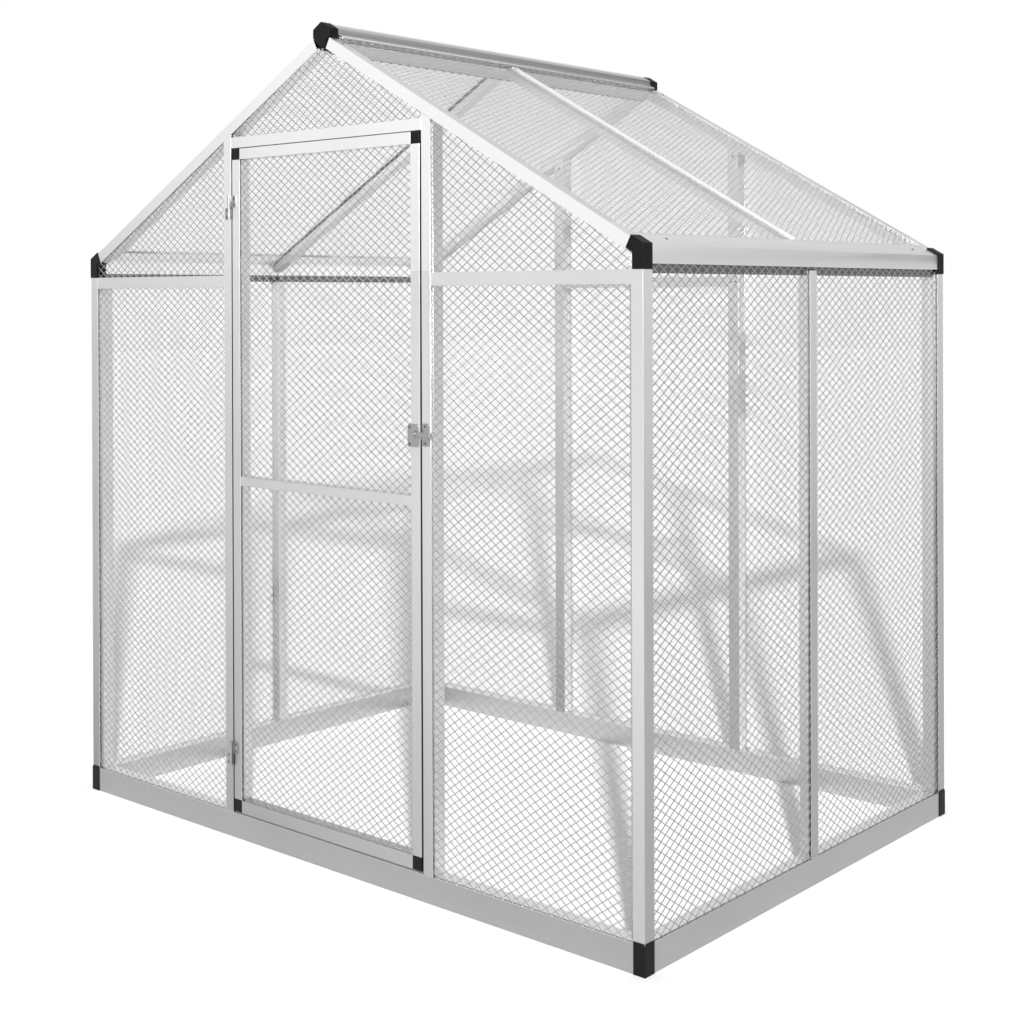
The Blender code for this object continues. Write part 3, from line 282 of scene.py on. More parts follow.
def compute(tree, operation, *values):
    """A math node on numbers or sockets."""
    node = add_node(tree, "ShaderNodeMath", operation=operation)
    for socket, value in zip(node.inputs, values):
        feed(tree, socket, value)
    return node.outputs[0]


def compare_vectors(tree, operation, first, second):
    """One number from two vectors, such as their distance."""
    node = add_node(tree, "ShaderNodeVectorMath", operation=operation)
    feed(tree, node.inputs[0], first)
    feed(tree, node.inputs[1], second)
    return node.outputs["Value"]


def parts_of(tree, vector):
    """The three numbers of a vector socket."""
    return add_node(tree, "ShaderNodeSeparateXYZ", {"Vector": vector}).outputs


def surface(tree, name):
    """The Position or the Normal of the surface."""
    return add_node(tree, "ShaderNodeNewGeometry").outputs[name]


def between(tree, value, least, most):
    """One where a value lies between two limits, else zero."""
    return compute(tree, "MULTIPLY", compute(tree, "GREATER_THAN", value, least),
                   compute(tree, "LESS_THAN", value, most))


def blend(tree, share, first, second):
    """A mix of two colours, each given as numbers or as a socket."""
    node = add_node(tree, "ShaderNodeMix", {"Factor": share}, data_type="RGBA")
    for name, colour in (("A", first), ("B", second)):
        if not isinstance(colour, bpy.types.NodeSocket):
            colour = (*(min(1.0, channel) for channel in colour), 1)
        feed(tree, node.inputs[name], colour)
    return node.outputs["Result"]


def new_look(name):
    """An empty material, with its tree, its shader and the object's coordinates."""
    look = bpy.data.materials.new(name)
    look.use_nodes = True
    tree = look.node_tree
    return look, tree, tree.nodes["Principled BSDF"], add_node(tree, "ShaderNodeTexCoord").outputs["Object"]


def noise(tree, place, scale, detail):
    settings = {"Vector": place, "Scale": scale, "Detail": detail}
    return add_node(tree, "ShaderNodeTexNoise", settings).outputs["Fac"]


def mottled(tree, shader, share, colour, tones):
    """A base colour that wanders between a darker and a lighter tone."""
    darker, lighter = (tuple(channel * tone for channel in colour) for tone in tones)
    tree.links.new(blend(tree, share, darker, lighter), shader.inputs["Base Color"])


def roughened(tree, shader, grain, roughness, relief):
    """Grain in the roughness, between two limits, and in the relief."""
    spread = add_node(tree, "ShaderNodeMapRange", {
        "Value": grain, "To Min": roughness[0], "To Max": roughness[1]})
    tree.links.new(spread.outputs["Result"], shader.inputs["Roughness"])
    bump = add_node(tree, "ShaderNodeBump", {"Height": grain, "Strength": relief[0], "Distance": relief[1]})
    tree.links.new(bump.outputs["Normal"], shader.inputs["Normal"])


def metal_shader(name, colour, roughness, grain_scale, turn=0.0):
    """Drawn metal: fine lines along the bar in roughness and relief, and a slow change of tone."""
    look, tree, shader, place = new_look(name)
    shader.inputs["Metallic"].default_value = 1.0
    turned = add_node(tree, "ShaderNodeMapping", {"Vector": place, "Rotation": (0, turn, 0)})
    drawn = add_node(tree, "ShaderNodeMapping", {"Vector": turned.outputs["Vector"], "Scale": grain_scale})
    grain = noise(tree, drawn.outputs["Vector"], 1.0, GRAIN_DETAIL)
    share = noise(tree, place, METAL_TONE_SCALE, METAL_TONE_DETAIL)
    mottled(tree, shader, share, colour, METAL_TONES)
    roughened(tree, shader, grain, (roughness - METAL_SPREAD, roughness + METAL_SPREAD), METAL_RELIEF)
    return look


def repaint(look, paint):
    """Passes the base colour of a metal through a function of tree, colour and object position."""
    tree = look.node_tree
    shader = tree.nodes["Principled BSDF"]
    place = next(node for node in tree.nodes if node.bl_idname == "ShaderNodeTexCoord")
    link = shader.inputs["Base Color"].links[0]
    colour = link.from_socket
    tree.links.remove(link)
    tree.links.new(paint(tree, colour, place.outputs["Object"]), shader.inputs["Base Color"])


def painted_shade_fall(tree, colour, position):
    """Painted shade: bars are painted darker towards the ground, the left and the rear, and on the outer
    right-hand faces.
    """
    x, y, z = parts_of(tree, position)
    bright = compute(tree, "MULTIPLY_ADD", z, SHADE_TO_GROUND, SHADE_START)
    bright = compute(tree, "MULTIPLY_ADD", x, SHADE_TO_LEFT, bright)
    bright = compute(tree, "MULTIPLY_ADD", y, -SHADE_TO_REAR, bright)
    most = compute(tree, "GREATER_THAN", z, HEADER_LOW)
    most = compute(tree, "MULTIPLY_ADD", most, 1.0 - WALL_TONE, WALL_TONE)
    bright = compute(tree, "MINIMUM", bright, most)
    to_right = compute(tree, "MAXIMUM", parts_of(tree, surface(tree, "Normal"))[0], 0.0)
    upper = compute(tree, "MAXIMUM", compute(tree, "SUBTRACT", z, RIGHT_LIGHT_FROM), 0.0)
    outer = compute(tree, "MULTIPLY_ADD", z, RIGHT_TO_GROUND, RIGHT_START - INNER_TONE)
    outer = compute(tree, "MULTIPLY_ADD", upper, RIGHT_TO_EAVE, outer)
    right = compute(tree, "MULTIPLY_ADD", outer, compute(tree, "GREATER_THAN", x, RIGHT_FROM), INNER_TONE)
    change = compute(tree, "MULTIPLY", compute(tree, "SUBTRACT", right, bright), to_right)
    bright = compute(tree, "MINIMUM", compute(tree, "ADD", bright, change), 1.0)
    return blend(tree, bright, (0.0, 0.0, 0.0), colour)


def below_roof(tree, x, z):
    """The depth of a place under the roof's surface, straight down."""
    across = compute(tree, "SUBTRACT", FACE_X, compute(tree, "ABSOLUTE", x))
    return compute(tree, "SUBTRACT", compute(tree, "MULTIPLY_ADD", across, ROOF_TAN, EAVE_EDGE), z)


def shaded_slots(tree, colour, position):
    """Painted shade inside the slots behind the bars' lips."""
    x, y, z = parts_of(tree, position)
    across = compute(tree, "SUBTRACT", FACE_X, compute(tree, "ABSOLUTE", x))
    back = compute(tree, "SUBTRACT", FACE_Y, compute(tree, "ABSOLUTE", y))
    below = compute(tree, "GREATER_THAN", below_roof(tree, x, z), SLOT_UNDER_ROOF)
    slot = between(tree, compute(tree, "MINIMUM", across, back), SLOT_START, SLOT_END)
    return blend(tree, compute(tree, "MULTIPLY", slot, below), colour, SLOT_SHADE)


def shaded_ribs(tree, colour, position):
    """Painted shade as a line along the middle rafters under the roof's mesh, full on the left and faint on
    the right.
    """
    x, y, z = parts_of(tree, position)
    along = compute(tree, "ABSOLUTE", parts_of(tree, surface(tree, "Normal"))[1])
    sideways = compute(tree, "GREATER_THAN", along, FACING_SHARE)
    middle = compute(tree, "LESS_THAN", compute(tree, "ABSOLUTE", y), RIB_HALF)
    line = between(tree, below_roof(tree, x, z), SLOT_UNDER_ROOF, RIB_LINE)
    shade = compute(tree, "MULTIPLY", compute(tree, "MULTIPLY", sideways, middle), line)
    depth = compute(tree, "MULTIPLY_ADD", compute(tree, "LESS_THAN", x, 0.0), 1.0 - RIB_FAINT, RIB_FAINT)
    return blend(tree, compute(tree, "MULTIPLY", shade, depth), colour, SLOT_SHADE)


def painted_sill_light(tree, colour, position):
    """Painted light: the sills' upward and inward faces are painted paler than their outer sides."""
    normal = surface(tree, "Normal")
    upward = compute(tree, "GREATER_THAN", parts_of(tree, normal)[2], FACING_SHARE)
    inward = compute(tree, "LESS_THAN", compare_vectors(tree, "DOT_PRODUCT", normal, position), 0.0)
    colour = blend(tree, inward, colour, SILL_INSIDE_SHADE)
    return blend(tree, upward, colour, SILL_TOP_SHADE)


def shaded_rail_lip(tree, colour, position):
    """Painted shade: the eave rail's hanging lip is painted dark, as it lies in the rail's own shade."""
    return blend(tree, compute(tree, "LESS_THAN", parts_of(tree, position)[2], RAIL_LOW), colour, SLOT_SHADE)


def painted_ridge_shading(tree, colour, position):
    """Painted shade and light in bands along the ridge rail's sides, at the heights of its long grooves."""
    height = parts_of(tree, position)[2]
    for least, most, tone in RIDGE_SHADE_BANDS:
        band = between(tree, height, least, most)
        colour = blend(tree, band, colour, (tone, tone, tone))
    return colour


def plastic_shader(name, colour):
    """Moulded plastic with a fine spark-eroded grain."""
    look, tree, shader, place = new_look(name)
    shader.inputs["Specular IOR Level"].default_value = PLASTIC_SHEEN
    grain = noise(tree, place, PLASTIC_GRAIN, PLASTIC_DETAIL)
    mottled(tree, shader, grain, colour, PLASTIC_TONES)
    roughened(tree, shader, grain, PLASTIC_ROUGHNESS, PLASTIC_RELIEF)
    return look


def zinc_shader(name, colour):
    """Zinc plating: small crystals of slightly different tone."""
    look = metal_shader(name, colour, ZINC_ROUGHNESS, (ZINC_GRAIN,) * 3)

    def crystals(tree, plain, position):
        cells = add_node(tree, "ShaderNodeTexVoronoi", {"Vector": position, "Scale": SPANGLE_SCALE})
        grey = add_node(tree, "ShaderNodeSeparateColor", {"Color": cells.outputs["Color"]})
        dim = compute(tree, "MULTIPLY", grey.outputs["Red"], SPANGLE_SHARE)
        return blend(tree, dim, plain, SPANGLE_TONE)

    repaint(look, crystals)
    return look


GRAINS = {
    "x": ((GRAIN_ALONG, GRAIN_ACROSS, GRAIN_ACROSS), 0.0),
    "y": ((GRAIN_ACROSS, GRAIN_ALONG, GRAIN_ACROSS), 0.0),
    "z": ((GRAIN_ACROSS, GRAIN_ACROSS, GRAIN_ALONG), 0.0),
    "slope_left": ((GRAIN_ALONG, GRAIN_ACROSS, GRAIN_ACROSS), ROOF_PITCH),
    "slope_right": ((GRAIN_ALONG, GRAIN_ACROSS, GRAIN_ACROSS), -ROOF_PITCH),
}


def aluminium(grain, shade="bar"):
    """A shade of the bars' material with its drawn lines along one direction, made once."""
    name = f"silver_{shade}_{grain}"
    if name in bpy.data.materials:
        return bpy.data.materials[name]
    scale, turn = GRAINS[grain]
    settings = bpy.context.scene.aviary_finish
    look = metal_shader(name, getattr(settings, COLOURS[shade]), BAR_ROUGHNESS, scale, turn)
    for paint in PAINTS[shade]:
        repaint(look, paint)
    return look


COLOURS = {"bar": "aluminium", "sill": "sill_shaded_aluminium", "rail": "rail_aluminium", "ridge": "rail_aluminium"}
PAINTS = {
    "bar": (painted_shade_fall, shaded_slots, shaded_ribs), "sill": (painted_sill_light,), "rail": (shaded_slots, shaded_rail_lip),
    "ridge": (painted_ridge_shading,),
}
SHADES = {"sill": "sill", "eave": "rail", "ridge": "ridge"}


def body_of_node(node):
    return next(body for body, nodes in frame["record"]["behaviour"]["bodies"].items() if node in nodes)


def settle(piece, body, nodes=()):
    """Rides a finished piece on its body and hides the nodes that it replaces."""
    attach(piece, body)
    if nodes:
        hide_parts(*nodes)


def dress(node, look, edge):
    """A merged copy of a rigid node with bevelled edges takes the node's place."""
    settings = bpy.context.scene.aviary_finish
    shape = bmesh.new()
    shape.from_mesh(frame["nodes"][node].data)
    bmesh.ops.remove_doubles(shape, verts=shape.verts, dist=MERGE_WITHIN)
    bmesh.ops.dissolve_limit(shape, angle_limit=FLAT_WITHIN, verts=shape.verts, edges=shape.edges)
    mesh = bpy.data.meshes.new(f"{node}_finish")
    shape.to_mesh(mesh)
    shape.free()
    piece = bpy.data.objects.new(f"{node}_finish", mesh)
    bpy.context.scene.collection.objects.link(piece)
    bevel = piece.modifiers.new("edge", "BEVEL")
    bevel.width = edge
    bevel.segments = 1
    bevel.limit_method = "ANGLE"
    bevel.angle_limit = settings.round_angle
    graph = bpy.context.evaluated_depsgraph_get()
    finished = bpy.data.meshes.new_from_object(piece.evaluated_get(graph))
    piece.modifiers.clear()
    piece.data = finished
    bpy.data.meshes.remove(mesh)
    finished.name = piece.name
    finished.materials.clear()
    finished.materials.append(look)
    finished.shade_smooth()
    finished.set_sharp_from_angle(angle=settings.round_angle)
    settle(piece, body_of_node(node), [node])
    return piece


class AVIARY_OT_bars(bpy.types.Operator):
    """Finish the floor bars, posts, ties, rafters and rails"""
    bl_idname = "aviary.bars"
    bl_label = "Bars"

    def execute(self, context):
        runs = {
            "x": ["sill_front", "sill_rear", "rear_tie", "door_header"],
            "y": ["sill_left", "sill_right", "ridge_rail"],
            "z": [f"corner_post_{corner}" for corner in CORNERS],
        }
        for side in SIDES:
            runs["x"].append(f"front_tie_{side}")
            runs["y"].append(f"eave_rail_{side}")
            runs["z"] += [f"door_post_{side}", f"rear_post_{side}", f"side_mid_post_{side}"]
            slope = [f"mid_rafter_{side}"] + [f"gable_rafter_{end}_{side}" for end in ENDS]
            runs[f"slope_{side}"] = slope
        for grain, nodes in runs.items():
            for node in nodes:
                shade = SHADES.get(node.split("_")[0], "bar")
                dress(node, aluminium(grain, shade), context.scene.aviary_finish.edge)
        return {"FINISHED"}


class AVIARY_OT_door_frame(bpy.types.Operator):
    """Finish the stiles and rails of the door"""
    bl_idname = "aviary.door_frame"
    bl_label = "Door Frame"

    def execute(self, context):
        edge = context.scene.aviary_finish.edge
        for side in SIDES:
            dress(f"door_stile_{side}", aluminium("z"), edge)
        for row in ("top", "middle", "bottom"):
            dress(f"door_rail_{row}", aluminium("x"), edge)
        return {"FINISHED"}


class AVIARY_OT_caps(bpy.types.Operator):
    """Finish the black corner blocks, eave caps and ridge caps"""
    bl_idname = "aviary.caps"
    bl_label = "Black Caps"

    def execute(self, context):
        settings = context.scene.aviary_finish
        look = plastic_shader("black_plastic_grain", settings.plastic)
        nodes = [f"base_corner_{corner}" for corner in CORNERS] + [f"eave_cap_{corner}" for corner in CORNERS]
        nodes += [f"ridge_cap_{end}" for end in ENDS]
        nodes += [f"door_corner_{row}_{side}" for row in ("top", "bottom") for side in SIDES]
        for node in nodes:
            dress(node, look, 2 * settings.edge)
        return {"FINISHED"}


class AVIARY_OT_fittings(bpy.types.Operator):
    """Finish the hinges and the latch"""
    bl_idname = "aviary.fittings"
    bl_label = "Hinges and Latch"

    def execute(self, context):
        settings = context.scene.aviary_finish
        look = zinc_shader("zinc_steel_spangle", settings.zinc)
        nodes = [f"hinge_{leaf}_leaf_{row}" for leaf in ("frame", "door") for row in ("upper", "lower")]
        for node in nodes + ["latch_plate", "latch_keeper", "latch_lever"]:
            dress(node, look, settings.edge / 2)
        return {"FINISHED"}


def new_tree(name, inputs):
    """A geometry tree with a Geometry output and these named inputs, and the sockets that they give."""
    tree = bpy.data.node_groups.new(name, "GeometryNodeTree")
    tree.interface.new_socket("Geometry", in_out="OUTPUT", socket_type="NodeSocketGeometry")
    for title, kind in inputs:
        tree.interface.new_socket(title, in_out="INPUT", socket_type=f"NodeSocket{kind}")
    return tree, add_node(tree, "NodeGroupInput").outputs


def end_tree(tree, geometry, look):
    """Ends a tree with real geometry in one material."""
    real = add_node(tree, "GeometryNodeRealizeInstances", {"Geometry": geometry}).outputs["Geometry"]
    painted = add_node(tree, "GeometryNodeSetMaterial", {"Geometry": real, "Material": look})
    add_node(tree, "NodeGroupOutput", {"Geometry": painted.outputs["Geometry"]})


def mesh_tree(look):
    """Rows of zigzag strands that touch at their peaks, as in expanded metal."""
    tree, given = new_tree("expanded_metal", (
        ("Columns", "Int"), ("Rows", "Int"), ("Diamond Width", "Float"), ("Diamond Height", "Float"),
        ("Strand Width", "Float"), ("Strand Depth", "Float"), ("Strand Tilt", "Float"),
    ))
    half_width = compute(tree, "MULTIPLY", given["Diamond Width"], 0.5)
    half_height = compute(tree, "MULTIPLY", given["Diamond Height"], 0.5)
    rows = compute(tree, "ADD", given["Rows"], 1)
    grid = add_node(tree, "GeometryNodeMeshGrid", {
        "Size X": compute(tree, "MULTIPLY", given["Columns"], half_width),
        "Size Y": compute(tree, "MULTIPLY", given["Rows"], half_height),
        "Vertices X": compute(tree, "ADD", given["Columns"], 1),
        "Vertices Y": rows,
    })
    index = add_node(tree, "GeometryNodeInputIndex").outputs[0]
    column = compute(tree, "FLOOR", compute(tree, "DIVIDE", compute(tree, "ADD", index, 0.5), rows))
    row = compute(tree, "MODULO", index, rows)
    parity = compute(tree, "MODULO", compute(tree, "ADD", column, row), 2)
    swing = compute(tree, "MULTIPLY", compute(tree, "SUBTRACT", parity, 0.5), half_height)
    offset = add_node(tree, "ShaderNodeCombineXYZ", {"Y": swing})

    lines = add_node(tree, "GeometryNodeDeleteGeometry", {"Geometry": grid.outputs["Mesh"]},
                     domain="FACE", mode="ONLY_FACE")
    ends = add_node(tree, "GeometryNodeInputMeshEdgeVertices").outputs
    across = [parts_of(tree, ends[name])["X"] for name in ("Position 1", "Position 2")]
    upright = compute(tree, "LESS_THAN", compute(tree, "ABSOLUTE", compute(tree, "SUBTRACT", *across)),
                      compute(tree, "MULTIPLY", given["Diamond Width"], UPRIGHT_SHARE))
    level = add_node(tree, "GeometryNodeDeleteGeometry", {
        "Geometry": lines.outputs["Geometry"], "Selection": upright}, domain="EDGE", mode="EDGE_FACE")
    zigzag = add_node(tree, "GeometryNodeSetPosition", {
        "Geometry": level.outputs["Geometry"], "Offset": offset.outputs["Vector"]})
    strands = add_node(tree, "GeometryNodeMeshToCurve", {"Mesh": zigzag.outputs["Geometry"]})
    facing = add_node(tree, "GeometryNodeSetCurveNormal", {"Curve": strands.outputs["Curve"]}, mode="Z_UP")
    tilt = add_node(tree, "GeometryNodeSetCurveTilt", {
        "Curve": facing.outputs["Curve"], "Tilt": given["Strand Tilt"]})
    profile = add_node(tree, "GeometryNodeCurvePrimitiveQuadrilateral", {
        "Width": given["Strand Width"], "Height": given["Strand Depth"]})
    tube = add_node(tree, "GeometryNodeCurveToMesh", {
        "Curve": tilt.outputs["Curve"], "Profile Curve": profile.outputs["Curve"], "Fill Caps": True})
    slant = parts_of(tree, add_node(tree, "GeometryNodeInputNormal").outputs["Normal"])["Z"]
    marked = add_node(tree, "GeometryNodeStoreNamedAttribute", {
        "Geometry": tube.outputs["Mesh"], "Name": "inner_side",
        "Value": compute(tree, "GREATER_THAN", slant, 0.0),
    }, domain="FACE", data_type="FLOAT")
    end_tree(tree, marked.outputs["Geometry"], look)
    return tree


def grown(tree, values):
    """The plain mesh that a node tree makes from these named values."""
    seed = bpy.data.objects.new("seed", bpy.data.meshes.new("seed"))
    bpy.context.scene.collection.objects.link(seed)
    modifier = seed.modifiers.new("grow", "NODES")
    modifier.node_group = tree
    for item in tree.interface.items_tree:
        if item.in_out == "INPUT" and item.name in values:
            modifier[item.identifier] = values[item.name]
    graph = bpy.context.evaluated_depsgraph_get()
    mesh = bpy.data.meshes.new_from_object(seed.evaluated_get(graph))
    bpy.data.objects.remove(seed)
    return mesh


def mesh_bay(tree, settings, diamond, bay):
    """The lattice over one bay, cut along the bay's straight edges inside the slots."""
    width, height = diamond
    start_u = math.floor(min(u for u, v in bay) / width) * width
    start_v = math.floor(min(v for u, v in bay) / height) * height
    columns = 2 * math.ceil((max(u for u, v in bay) - start_u) / width)
    rows = 2 * math.ceil((max(v for u, v in bay) - start_v) / height)
    mesh = grown(tree, {
        "Columns": columns, "Rows": rows, "Diamond Width": width, "Diamond Height": height,
        "Strand Width": settings.strand_width, "Strand Depth": settings.strand_depth,
        "Strand Tilt": settings.strand_tilt,
    })
    shape = bmesh.new()
    shape.from_mesh(mesh)
    bpy.data.meshes.remove(mesh)
    centre = (start_u + columns * width / 4, start_v + rows * height / 4, 0)
    bmesh.ops.translate(shape, verts=shape.verts, vec=centre)
    for (u, v), (next_u, next_v) in zip(bay, bay[1:] + bay[:1]):
        everything = shape.verts[:] + shape.edges[:] + shape.faces[:]
        bmesh.ops.bisect_plane(shape, geom=everything, plane_co=(u, v, 0),
                               plane_no=(next_v - v, u - next_u, 0), clear_outer=True)
    cut = [edge for edge in shape.edges if edge.is_boundary]
    bmesh.ops.holes_fill(shape, edges=cut, sides=CUT_SIDES)
    return shape


def mesh_wall(name, node, bays, place, tree, diamond):
    """All bays of one wall as one piece, in place of the CAD sheet."""
    settings = bpy.context.scene.aviary_mesh
    whole = bpy.data.meshes.new(name)
    joined = bmesh.new()
    for bay in bays:
        shape = mesh_bay(tree, settings, diamond, bay)
        part = bpy.data.meshes.new("bay")
        shape.to_mesh(part)
        shape.free()
        joined.from_mesh(part)
        bpy.data.meshes.remove(part)
    bmesh.ops.transform(joined, matrix=place, verts=joined.verts)
    if place.determinant() < 0:
        bmesh.ops.reverse_faces(joined, faces=joined.faces)
    joined.to_mesh(whole)
    joined.free()
    whole.materials.append(bpy.data.materials["mesh_aluminium_drawn"])
    piece = bpy.data.objects.new(name, whole)
    bpy.context.scene.collection.objects.link(piece)
    piece.visible_shadow = False
    piece.visible_diffuse = False
    settle(piece, body_of_node(node), [node])


def plane_matrix(origin, across, up, inward):
    """Places flat coordinates in a wall, with the sheet's depth along the inward direction."""
    columns = Matrix((across, up, inward)).transposed().to_4x4()
    return Matrix.Translation(Vector(origin) + Vector(inward) * MESH_DEPTH) @ columns


def under_rafter(x, bite):
    """Height of the rafters' lower edge, or of a line this far up inside their slot."""
    return EAVE_EDGE + (FACE_X - abs(x)) * ROOF_TAN - (RAFTER_LIP - bite) / math.cos(ROOF_PITCH)


def bay_under_roof(left, right, bottom):
    """A bay that ends in the rafters' slots, with a corner under the ridge if it spans the middle."""
    outline = [(left, bottom), (right, bottom), (right, under_rafter(right, MESH_BITE))]
    if left < 0 < right:
        outline.append((0, under_rafter(0, 0) - MESH_BITE))
    return outline + [(left, under_rafter(left, MESH_BITE))]


def rectangle(left, right, bottom, top):
    return [(left, bottom), (right, bottom), (right, top), (left, top)]


def mesh_material(context):
    """Grey on the strands' outer side, with painted light making the roof's strands lighter and the inner
    side pale.
    """
    name = "mesh_aluminium_drawn"
    if name in bpy.data.materials:
        return bpy.data.materials[name]
    settings = context.scene.aviary_finish
    look = metal_shader(name, settings.mesh_metal, MESH_ROUGHNESS, (MESH_GRAIN,) * 3)

    def painted_mesh_light(tree, outer, position):
        x, y, z = parts_of(tree, position)
        # Painted light: the strands just under the roof's surface are painted lighter
        lit_roof = compute(tree, "LESS_THAN", below_roof(tree, x, z), ROOF_SHEET)
        outer = blend(tree, lit_roof, outer, settings.mesh_roof)
        # Painted light: the strands' inner side is painted pale
        side = add_node(tree, "ShaderNodeAttribute", attribute_name="inner_side")
        return blend(tree, side.outputs["Fac"], outer, settings.mesh_pale)

    repaint(look, painted_mesh_light)
    return look


class AVIARY_OT_mesh_gables(bpy.types.Operator):
    """Stretch the mesh in the bays of the front and rear walls"""
    bl_idname = "aviary.mesh_gables"
    bl_label = "Gable Mesh"

    def execute(self, context):
        settings = context.scene.aviary_mesh
        tree = mesh_tree(mesh_material(context))
        diamond = (settings.gable_width, settings.gable_height)
        post = FACE_X - POST_LIP + MESH_BITE
        cap = FACE_X - POST_LIP
        sill = SILL_TOP - MESH_BITE
        over_tie = EAVE_LOW - MESH_BITE
        under_tie = TIE_LOW + MESH_BITE
        door_left = low("door_post_left", "x") + MESH_BITE
        door_right = high("door_post_right", "x") - MESH_BITE
        front = [rectangle(-post, door_left, sill, under_tie), rectangle(door_right, post, sill, under_tie)]
        front += [bay_under_roof(-cap, door_left, over_tie), bay_under_roof(door_right, cap, over_tie)]
        header = high("door_header", "z") - MESH_BITE
        front.append(bay_under_roof(high("door_post_left", "x"), low("door_post_right", "x"), header))
        mesh_wall("expanded_mesh_front", "mesh_front", front,
                  plane_matrix((0, -FACE_Y, 0), (1, 0, 0), (0, 0, 1), (0, 1, 0)), tree, diamond)
        inner = high("rear_tie", "x") + MESH_BITE
        outer = inner + BAR_LIP - 2 * MESH_BITE
        rear = [bay_under_roof(-post, -outer, sill), rectangle(-inner, inner, sill, under_tie)]
        rear += [bay_under_roof(-inner, inner, over_tie), bay_under_roof(outer, post, sill)]
        mesh_wall("expanded_mesh_rear", "mesh_rear", rear,
                  plane_matrix((0, FACE_Y, 0), (1, 0, 0), (0, 0, 1), (0, -1, 0)), tree, diamond)
        return {"FINISHED"}


class AVIARY_OT_mesh_sides(bpy.types.Operator):
    """Stretch the mesh in the side walls and on the roof"""
    bl_idname = "aviary.mesh_sides"
    bl_label = "Side and Roof Mesh"

    def execute(self, context):
        settings = context.scene.aviary_mesh
        tree = mesh_tree(mesh_material(context))
        post = FACE_Y - POST_LIP + MESH_BITE
        middle = BAR_LIP / 2 - MESH_BITE
        top = high("mesh_right", "z")
        sill = SILL_TOP - MESH_BITE
        rafter = FACE_Y - RAFTER_LIP + MESH_BITE
        rise = RAIL_SKIN - MESH_BITE
        ridge = (FACE_X - RAFTER_LIP) / math.cos(ROOF_PITCH) + MESH_BITE
        for side, sign in SIDES.items():
            diamond = (settings.side_width, settings.side_height)
            bays = [rectangle(-post, -middle, sill, top), rectangle(middle, post, sill, top)]
            place = plane_matrix((sign * FACE_X, 0, 0), (0, 1, 0), (0, 0, 1), (-sign, 0, 0))
            mesh_wall(f"expanded_mesh_{side}", f"mesh_{side}", bays, place, tree, diamond)
            diamond = (settings.roof_width, settings.roof_height)
            bays = [rectangle(-rafter, -RIB_FIN, rise, ridge), rectangle(RIB_FIN, rafter, rise, ridge)]
            up = (-sign * math.cos(ROOF_PITCH), 0, math.sin(ROOF_PITCH))
            inward = (-sign * math.sin(ROOF_PITCH), 0, -math.cos(ROOF_PITCH))
            place = plane_matrix((sign * FACE_X, 0, EAVE_EDGE), (0, 1, 0), up, inward)
            mesh_wall(f"expanded_mesh_roof_{side}", f"mesh_roof_{side}", bays, place, tree, diamond)
        return {"FINISHED"}


class AVIARY_OT_mesh_door(bpy.types.Operator):
    """Stretch the mesh in the door's two bays"""
    bl_idname = "aviary.mesh_door"
    bl_label = "Door Mesh"

    def execute(self, context):
        settings = context.scene.aviary_mesh
        tree = mesh_tree(mesh_material(context))
        diamond = (settings.gable_width, settings.gable_height)
        left = high("door_stile_left", "x") - MESH_BITE
        right = low("door_stile_right", "x") + MESH_BITE
        bottom = high("door_rail_bottom", "z") - MESH_BITE
        top = low("door_rail_top", "z") + MESH_BITE
        below = low("door_rail_middle", "z") + MESH_BITE
        above = high("door_rail_middle", "z") - MESH_BITE
        bays = [rectangle(left, right, bottom, below), rectangle(left, right, above, top)]
        place = plane_matrix((0, -FACE_Y, 0), (1, 0, 0), (0, 0, 1), (0, 1, 0))
        mesh_wall("expanded_mesh_door", "door_mesh", bays, place, tree, diamond)
        return {"FINISHED"}


def ring(shape, settings, share_of, level):
    """A ring of points at one level, whose radius is a share that may change from step to step."""
    points = []
    for step in range(settings.segments):
        angle = 2 * math.pi * step / settings.segments
        reach = settings.head / 2 * share_of(step)
        points.append(shape.verts.new((
            reach * math.cos(angle), reach * math.sin(angle), settings.rise * level)))
    return points


def screw_head(settings):
    """A domed head with a cross recess, its flat side at the origin and +Z outwards."""
    quarter = settings.segments // CROSS_ARMS
    shape = bmesh.new()
    loops = [ring(shape, settings, lambda step, share=share: share, level) for share, level in HEAD_RINGS]
    for level in CROSS_LEVELS:
        loops.append(ring(
            shape, settings, lambda step: CROSS_WAIST if step % quarter else CROSS_REACH, level))
    for inner, outer in zip(loops[1:], loops):
        for step in range(settings.segments):
            after = (step + 1) % settings.segments
            shape.faces.new((outer[step], outer[after], inner[after], inner[step]))
    shape.faces.new(loops[-1])
    shape.faces.new(list(reversed(loops[0])))
    bmesh.ops.recalc_face_normals(shape, faces=shape.faces)
    mesh = bpy.data.meshes.new("screw_head")
    shape.to_mesh(mesh)
    shape.free()
    mesh.shade_smooth()
    mesh.set_sharp_from_angle(angle=HEAD_CREASE)
    return mesh


def screw_tree(look):
    """A screw head on every point, turned to the point's facing attribute."""
    tree, given = new_tree("screws", (("Geometry", "Geometry"), ("Head", "Object")))
    head = add_node(tree, "GeometryNodeObjectInfo", {"Object": given["Head"]})
    facing = add_node(tree, "GeometryNodeInputNamedAttribute", {"Name": "facing"}, data_type="FLOAT_VECTOR")
    turned = add_node(tree, "FunctionNodeAlignRotationToVector", {"Vector": facing.outputs["Attribute"]},
                      axis="Z")
    heads = add_node(tree, "GeometryNodeInstanceOnPoints", {
        "Points": given["Geometry"], "Instance": head.outputs["Geometry"],
        "Rotation": turned.outputs["Rotation"],
    })
    end_tree(tree, heads.outputs["Instances"], look)
    return tree


